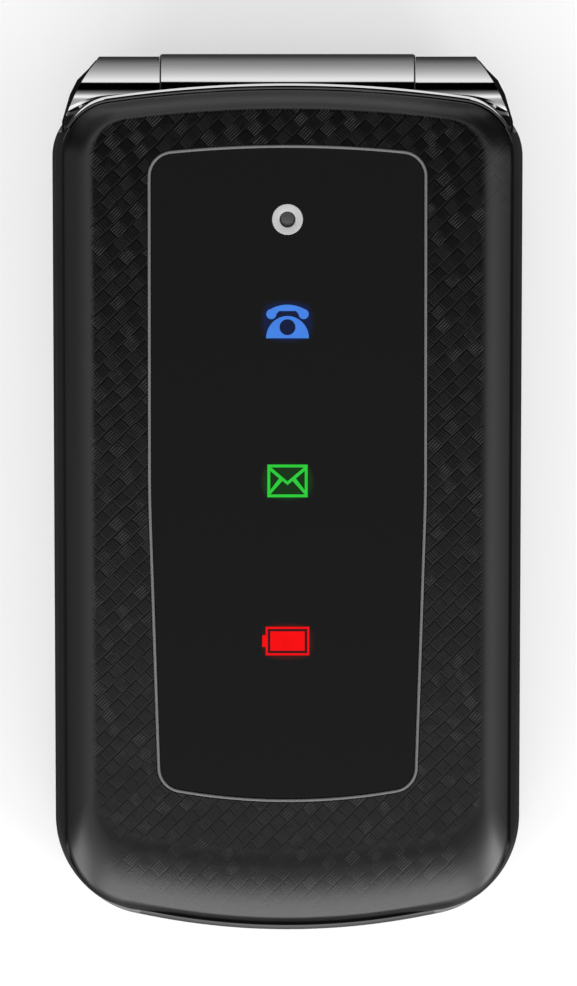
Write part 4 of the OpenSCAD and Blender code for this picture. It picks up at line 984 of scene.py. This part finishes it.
def hinge_slice(name, side, r, plan):
    """The stretch of a rod of radius r on the hinge axis that stands over that plan on one side."""
    plan = [Vector((side * x, AXIS_Y + y)) for x, y in plan]
    piece = lathe_x(name, [(side * LUG_X, r), (side * HALF_W, r)], HINGE_STEPS)
    return combine(piece, [prism(plan, AXIS_Z - 6, AXIS_Z + 6)], "INTERSECT")


def lug(side):
    """One chrome lug: a piece of the hinge rod with a slanted end, a foot and the socket of its pin or cam."""
    plan = [(x, y) for x, y, wide in LUG_END] + [(22.1, 5), (LUG_X, 5), (LUG_X, -8)]
    piece = hinge_slice(f"hinge_lug_{side + 2}", side, LUG_R, plan)
    low, high = sorted((side * (LUG_X + 1.4), side * (HALF_W - 4.4)))
    combine(piece, [rect_prism(low, high, AXIS_Y - 7.7, AXIS_Y - 3.6, LUG_FOOT_Z, PLATE_Z - 0.1)], "UNION")
    if side > 0:
        socket = rod(PIN_SOCKET_R, LUG_X - PAST, LUG_X + PIN_SOCKET_L)
    else:
        half = CAM_SOCKET_W / 2
        socket = rect_prism(-LUG_X - CAM_SOCKET_L, PAST - LUG_X, AXIS_Y - half, AXIS_Y + half,
                            AXIS_Z - half, AXIS_Z + half)
    combine(piece, [socket])
    dress(piece, "chrome", "keypad_half", ["hinge_lug_right" if side > 0 else "hinge_lug_left"])


def ear(side):
    """The black ear of the front housing outside one chrome lug."""
    grown = [(x + wide, y) for x, y, wide in LUG_END]
    kept = [(x + 0.02, y) for x, y, wide in reversed(LUG_END)]
    piece = hinge_slice(f"hinge_ear_{side + 2}", side, LUG_R + 0.1, grown + kept)
    dress(piece, "ear", "keypad_half")


def front_body():
    """The keypad face: ceiling, inside wall, joint, outside wall and rounded rim, with its openings."""
    steps = [(BASE_WALL, PLATE_Z), (BASE_WALL, REAR_H), (0.06, REAR_H), (0, REAR_H + 0.08)]
    steps += [(inward, BASE_T - down) for inward, down in quarter_round(0.5, 6)]
    body = loft("front_body", contours(BASE_OUTLINE, steps))
    hole_low, hole_high = PLATE_Z - PAST, BASE_T + PAST
    caps = [(KEY_W, KEY_L, key_place(i)) for i in range(12)]
    caps += [(SIDE_KEY_W, SIDE_KEY_L, place) for place in SIDE_KEYS.values()]
    holes = [round_rect(w + 2 * KEY_GAP, l + 2 * KEY_GAP, KEY_CORNER_R + KEY_GAP, place) for w, l, place in caps]
    holes.append(circle(NAV_R + KEY_GAP, (0, NAV_Y), 96))
    low, high = MIC_Y + 1.6, NAV_Y + NAV_R + 3.4
    # The well's wall stands on a floor 0.3 mm further in
    foot, well = (round_rect(2 * (HALF_W - 2.5 - d), high - low - 2 * d, 7 - d, (0, (low + high) / 2), 16)
                  for d in (0.3, 0))
    volume_low, volume_high = REAR_H - 1, 8.9
    volume = round_rect(17.3, volume_high - volume_low, 0.75, (4.5, (volume_low + volume_high) / 2))
    combine(body, [
        loft("well", [ring(foot, WELL_Z), ring(well, BASE_T + 0.001), ring(well, BASE_T + PAST)]),
        prisms("holes", [(hole, hole_low, hole_high) for hole in holes]),
        strip_cut(outline(inset(BASE_OUTLINE, STRIP_BACK + 0.04)), CHIN_TRIM_HIGH - 0.35),
        strip_cut(tapered(0.39, -0.01), BASE_T + PAST),
        *hinge_cuts(),
        across_prism(volume, -HALF_W - PAST, -HALF_W + 2.8),
        uprights(0.5, [(0, MIC_Y)], hole_low, hole_high),
    ])
    for side in (-1, 1):
        ear(side)
    dress(body, "face", "keypad_half", ["front_housing"])


def chin_strip():
    """The chrome strip round the chin, with a slightly rounded chamfer where it shows outside the rim."""
    width, drop, shelf, bulge = 0.36, 0.74, 0.38, 0.18
    low_slope, high_slope, steps = 62, 46, 6
    rings = contours(BASE_OUTLINE, [(STRIP_BACK, CHIN_TRIM_LOW)])
    rings += [ring(tapered(0.04 - bulge), CHIN_TRIM_LOW), ring(tapered(-bulge), CHIN_TRIM_LOW + 0.05)]
    slopes = [math.radians(low_slope + (high_slope - low_slope) * (i + 0.5) / steps) for i in range(steps)]
    full_x, full_z = sum(math.cos(a) for a in slopes), sum(math.sin(a) for a in slopes)

    def chamfer(inward, down):
        """A ring of the chamfer, which sinks to the shelf's height at the strip's ends."""
        return [Vector((p.x, p.y, CHIN_TRIM_HIGH - shelf + (shelf - down) * chin_share(p.y)))
                for p in tapered(inward)]

    total_x = total_z = 0
    for a in slopes:
        rings.append(chamfer((width + bulge) * total_x / full_x - bulge, drop * (1 - total_z / full_z)))
        total_x += math.cos(a)
        total_z += math.sin(a)
    rings += [chamfer(width, 0), chamfer(width + 0.02, shelf)]
    rings += contours(BASE_OUTLINE, [(STRIP_BACK, CHIN_TRIM_HIGH - shelf)])
    strip = chin_band("chin_strip", rings, CHIN_TRIM_TOP_Y)
    dress(strip, "chrome", "keypad_half", ["chin_trim"])


def cover():
    """The sliding battery cover, with its side tongues and grip grooves near the chin."""
    shares = [0, 0.012, 0.03, 0.06, 0.1, 0.14, COVER_T / REAR_H]
    panel = loft("back_cover", [rear_ring(t) for t in shares], ROUND_SMOOTH)
    half = COVER_W / 2
    combine(panel, [rect_prism(-half, half, CHIN_Y, COVER_TOP_Y, -PAST, REAR_H)], "INTERSECT", ROUND_SMOOTH)
    tongues = [(box_points(*sorted((side * (half - 1), side * (half + TONGUE_W))), CHIN_Y + 14, COVER_TOP_Y),
                TONGUE_Z, TONGUE_Z + TONGUE_T) for side in (-1, 1)]
    combine(panel, [prisms("tongues", tongues)], "UNION", ROUND_SMOOTH)
    grooves = [(round_rect(14 - 2 * i, 0.6, 0.28, (0, CHIN_Y + 12 - 1.4 * i)), -PAST, 0.18) for i in range(5)]
    combine(panel, [prisms("grooves", grooves)], smooth_angle=ROUND_SMOOTH)
    dress(panel, "black", "battery_cover", ["battery_cover"])


rear_body()
front_body()
for side in (-1, 1):
    lug(side)
chin_strip()
cover()

# ---- Keys ----

# Radius of the crown across a number key, and of the dome of the centre key
KEY_CROWN_R, OK_DOME_R = 75.0, 40.0


def crown_z(x, crown_r=KEY_CROWN_R):
    """Height of a key's top at x from its middle."""
    return KEY_TOP_Z - crown_r + math.sqrt(crown_r ** 2 - x ** 2)


def key_cap(name, w, l, place):
    """A key cap: flange, side wall, rounded edge and crowned top made of rings that close to the middle."""
    def plan(d):
        return round_rect(w - 2 * d, l - 2 * d, max(0.2, KEY_CORNER_R - d))

    def crowned(points, share=1.0, down=0.0):
        return [Vector((p.x * share, p.y * share, crown_z(p.x * share) - down)) for p in points]

    edge = 0.32
    rings = [ring(plan(d), FLANGE_Z + rise) for d, rise in ((-FLANGE_W, 0), (-FLANGE_W, 0.4), (0, 0.42))]
    rings += [crowned(plan(inward), down=down) for inward, down in quarter_round(edge, 5)]
    rings += [crowned(plan(edge), share) for share in (0.85, 0.65, 0.4, 0.15, 0.01)]
    shift = Vector((*place, 0))
    return loft(name, [[p + shift for p in points] for points in rings], ROUND_SMOOTH)


def print_on(name, glyph, place, body, material):
    """Lays a flat glyph on a key's crowned top as a thin print."""
    for v in glyph.data.vertices:
        lift = 0.02 if v.co.z > 0 else -0.02
        v.co.z = (crown_z(min(abs(v.co.x / MM), 8)) + lift) * MM
        v.co.x += place[0] * MM
        v.co.y += place[1] * MM
    glyph.name = name
    dress(glyph, material, body)


def digit(character, height):
    """A digit, star or hash of that height as a thin solid."""
    curve = bpy.data.curves.new("digit", "FONT")
    curve.body = character
    curve.size = height * (2.2 if character == "*" else 1.35) * MM
    curve.extrude = 0.01 * MM
    curve.align_x = curve.align_y = "CENTER"
    holder = add_object("digit", curve)
    mesh = evaluated_mesh(holder)
    bpy.data.objects.remove(holder)
    with opened(mesh) as bm:
        bmesh.ops.remove_doubles(bm, verts=bm.verts, dist=1e-7)
        bmesh.ops.triangulate(bm, faces=bm.faces)
    xs, ys = [v.co.x for v in mesh.vertices], [v.co.y for v in mesh.vertices]
    mesh.transform(Matrix.Translation((-(min(xs) + max(xs)) / 2, -(min(ys) + max(ys)) / 2, 0)))
    return add_object("digit", mesh)


def handset(turn):
    """A telephone handset seen from the side: a bar bent into an arc, with a lobe at each end."""
    outer, inner, steps = 2.6, 1.75, 20
    spread = math.radians(62)

    def arc(r, reach):
        turns = [math.pi / 2 + reach * (1 - 2 * i / steps) for i in range(steps + 1)]
        return [Vector((r * math.cos(a), r * math.sin(a))) for a in turns]

    far, near = outer * math.sin(spread) + 0.1, inner * math.sin(spread) - 0.25
    foot = outer * math.cos(spread) - 1.0
    points = arc(outer, spread) + [Vector((far, foot)), Vector((near, foot))]
    points += arc(inner, -0.72 * spread) + [Vector((-near, foot)), Vector((-far, foot))]
    spin = Matrix.Rotation(math.radians(turn), 2)
    return [spin @ (p - Vector((0, 1.4))) for p in points]


def keys():
    """Number, soft, call and end keys, each with its print."""
    names = [f"key_{n}" for n in range(1, 10)] + ["key_star", "key_0", "key_hash"]
    for i, (name, character) in enumerate(zip(names, "123456789*0#")):
        dress(key_cap(f"cap_{name}", KEY_W, KEY_L, key_place(i)), "key", name, [name])
        print_on(f"print_{name}", digit(character, 3.4), key_place(i), name, "legend")
    bar = round_rect(3.4, 0.55, 0.2)
    marks = {
        "soft_key_left": (bar, "legend", "key_plastic"),
        "soft_key_right": (bar, "legend", "key_plastic"),
        "call_key": (handset(35), "legend_green", "call_key"),
        "end_key": (handset(0), "legend_red", "end_key"),
    }
    for name, place in SIDE_KEYS.items():
        glyph, material, slot = marks[name]
        dress(key_cap(f"cap_{name}", SIDE_KEY_W, SIDE_KEY_L, place), "key", name, [name])
        print_on(f"print_{name}", prism(glyph, -0.01, 0.01), place, name, material)


def navigation():
    """The brushed ring with an arrow for each direction, and the domed centre key."""
    bore, top, place = OK_R + OK_GAP, KEY_TOP_Z - 0.1, (0, NAV_Y)
    face = close_tube(lathe_z("nav_dial", [
        (bore, FLANGE_Z), (NAV_R + FLANGE_W, FLANGE_Z), (NAV_R + FLANGE_W, FLANGE_Z + 0.2),
        (NAV_R, FLANGE_Z + 0.22), (NAV_R, top - 0.42), (NAV_R - 0.08, top - 0.2), (NAV_R - 0.28, top - 0.05),
        (NAV_R - 0.55, top), (NAV_R - 1.2, top - 0.02), (bore + 1.4, top - 0.1), (bore + 0.5, top - 0.12),
        (bore + 0.15, top - 0.17), (bore, top - 0.3),
    ], place, 144))
    dress(face, "nav", "nav_ring", ["nav_ring"])
    arrows = []
    for turn in (0, 90, 180, 270):
        spin = Matrix.Rotation(math.radians(turn), 2)
        arrow = [spin @ Vector(p) + Vector(place) for p in ((7.5, 0), (6.6, 0.75), (6.6, -0.75))]
        arrows.append((arrow, top - 0.12, top - 0.03))
    dress(prisms("nav_arrows", arrows), "legend", "nav_ring")
    edge = [(OK_R - inward, down) for inward, down in quarter_round(0.3, 4)]
    profile = [(r, crown_z(r, OK_DOME_R) - down) for r, down in edge + [(3.2, 0), (2.0, 0), (0.9, 0), (0.02, 0)]]
    cap = lathe_z("ok_cap", [(OK_R, FLANGE_Z + 0.2)] + profile, place, smooth_angle=ROUND_SMOOTH)
    dress(cap, "key", "ok_key", ["ok_key"])


keys()
navigation()

# Nodes of the CAD model that keep their own shape, by material
CARRIED = {
    "face": ["volume_key"],
    "board": ["main_board", "flip_board"],
    "mat": ["keypad_mat"],
    "label": ["battery"],
    "block": ["battery_contacts", "headset_jack", "nav_pad", "camera_module"],
    "speaker": ["loudspeaker"],
    "steel": ["sim_holder", "microphone", "usb_port", "vibration_motor", "hinge_cam_head", "hinge_pivot_pin",
              "base_screws", "earpiece", "hinge_cartridge", "flip_screws"],
    "brass": ["antenna"],
    "rubber": ["flip_bumpers"],
    "flex": ["flex_cable"],
    "display": ["display_module"],
    "message": ["message_indicator"],
    "battery_mark": ["battery_indicator"],
}
for material, names in CARRIED.items():
    for name in names:
        dress(frame["nodes"][name], material)

# ---- Stage, light and camera ----


def sheet(name, corners):
    """A single face through those corners."""
    bm = bmesh.new()
    bm.faces.new([bm.verts.new(p) for p in corners])
    return make_object(name, bm)


def stage():
    """A floor of white paper just under the phone, which glows for the camera and in reflections."""
    size, z = 4000, -0.02
    floor = sheet("floor", [(-size, -size, z), (size, -size, z), (size, size, z), (-size, size, z)])
    s = Shader("floor_paper", (0.55, 0.55, 0.55), 0.7, specular=0.1)
    s.set("Base Color", s.blend(s.noise(40, 2), (0.545, 0.545, 0.545), (0.555, 0.555, 0.555)))
    path = s.nodes.new("ShaderNodeLightPath")
    seen = s.highest(*(path.outputs[f"Is {kind} Ray"] for kind in ("Camera", "Glossy", "Transmission")))
    s.set("Emission Color", (1, 1, 1))
    s.set("Emission Strength", s.product(seen, 0.48))
    floor.data.materials.append(s.material)


def world():
    """A soft studio of broad panels, with dark gaps overhead, by the hinge and at the corners beside it."""
    studio = bpy.data.worlds.new("studio")
    bpy.context.scene.world = studio
    studio.use_nodes = True
    g = Graph(studio.node_tree)
    background = g.nodes["Background"]
    x, y, z = g.split(g.nodes.new("ShaderNodeTexCoord").outputs["Generated"])

    def panels(side, stops):
        """Grey levels by the angle in degrees from overhead toward that side, halved to stay below 1."""
        turn = g.remap(g.math("ARCTAN2", side, z), -math.pi / 2, math.pi / 2)
        return g.ramp(turn, [((degrees + 90) / 180, level / 2) for degrees, level in stops])

    along = panels(y, [
        (-90, 0.03), (-75, 0.1), (-62, 0.35), (-40, 0.45), (-24, 0.4), (-17, 0.5), (-13, 1.0), (-9, 1.0), (-3, 0.42),
        (0, 0.25), (3, 0.17), (7, 0.05), (10, 0.0), (15, 0.0), (31, 0.0), (33, 0.88), (36, 0.93), (42, 0.9),
        (48, 0.78), (54, 0.68), (60, 0.59), (68, 0.48), (80, 0.36), (90, 0.28),
    ])
    across = panels(x, [
        (-90, 0.1), (-76, 0.35), (-60, 0.8), (-46, 1.2), (-32, 1.3), (-25, 0.9), (-18, 0.1), (-9, 0.0), (9, 0.0),
        (18, 0.0), (25, 0.35), (34, 0.65), (46, 1.5), (60, 1.8), (74, 1.3), (84, 0.5), (90, 0.05),
    ])
    g.put(g.blend(1, along, across, "LIGHTEN"), background.inputs["Color"])
    # The bevel's steep ends at the hinge reflect these two corners of the studio
    corner = g.product(g.remap(g.math("ABSOLUTE", x), 0.2, 0.42), g.remap(y, 0.16, 0.34),
                       g.remap(g.minus(1, z), 0.31, 0.4))
    full, dimmed = 2.0, 1.9
    g.put(g.minus(full, g.product(corner, dimmed)), background.inputs["Strength"])


def lamp(name, place, size, power):
    """A lamp in metres and watts, turned toward the middle of the phone."""
    light = bpy.data.lights.new(name, "AREA")
    light.shape = "RECTANGLE"
    light.size, light.size_y = size
    light.energy = power
    obj = add_object(name, light)
    obj.location = place
    obj.rotation_euler = (-Vector(place)).to_track_quat("-Z", "Y").to_euler()


def flag(name, start, stop, stops):
    """A card on the floor between two points, seen by reflections only, and graded from its foot to its top."""
    high = stops[-1][0]
    card = sheet(name, [(*start, 0), (*stop, 0), (*stop, high), (*start, high)])
    s = Shader(name, (0, 0, 0), 1.0, specular=0.0)
    share = s.math("DIVIDE", s.axes()[2], high)
    s.set("Emission Color", s.ramp(share, [(z / high, level) for z, level in stops]))
    s.set("Emission Strength", 1.0)
    card.data.materials.append(s.material)
    card.visible_camera = card.visible_diffuse = card.visible_shadow = card.visible_transmission = False


def flags():
    """Grey cards round the phone, whose heights decide what its edges reflect of the floor and the studio."""
    hinge_y, chin_y, chin_x, side_x, high = AXIS_Y + 12.4, CHIN_Y - 9.5, 20, 33, 17.5
    flag("hinge_flag", (-60, hinge_y), (60, hinge_y),
         [(0, 0.03), (6.6, 0.05), (9.1, 0.11), (11, 0.18), (12.6, 0.25), (14.2, 0.29)])
    flag("chin_flag", (-chin_x, chin_y), (chin_x, chin_y),
         [(0, 0.08), (6, 0.12), (9.8, 0.24), (11.5, 0.03), (high, 0.01)])
    for side, level in ((-1, 0.06), (1, 0.03)):
        flag(f"side_flag_{side + 2}", (side * side_x, -44), (side * side_x, 58), [(0, level), (high, 2 * level)])
        flag(f"corner_flag_{side + 2}", (side * chin_x, chin_y), (side * (side_x + 5), CHIN_Y + 3),
             [(0, 0.15), (8.5, 0.35), (10.3, 0.35), (11.5, 0.04), (high, 0.02)])


def camera():
    """Straight above the phone, through a long lens, framed as the photograph."""
    distance, frame_height, centre, focus_z = 2.5, 0.11785, (0.00012, -0.00024), 0.0145
    data = bpy.data.cameras.new("camera")
    data.sensor_fit = "VERTICAL"
    data.sensor_height = 36
    data.lens = data.sensor_height * distance / frame_height
    data.clip_end = 100
    obj = add_object("camera", data)
    obj.location = (*centre, focus_z + distance)
    bpy.context.scene.camera = obj


stage()
world()
lamp("chin_panel", (0, -0.62, 0.46), (0.7, 0.15), 2.7)
lamp("left_corner_panel", (-0.53, -0.47, 0.36), (0.3, 0.18), 1.3)
lamp("right_corner_panel", (0.53, -0.47, 0.36), (0.3, 0.18), 1.75)
flags()
camera()
bpy.context.scene.view_settings.view_transform = "Standard"
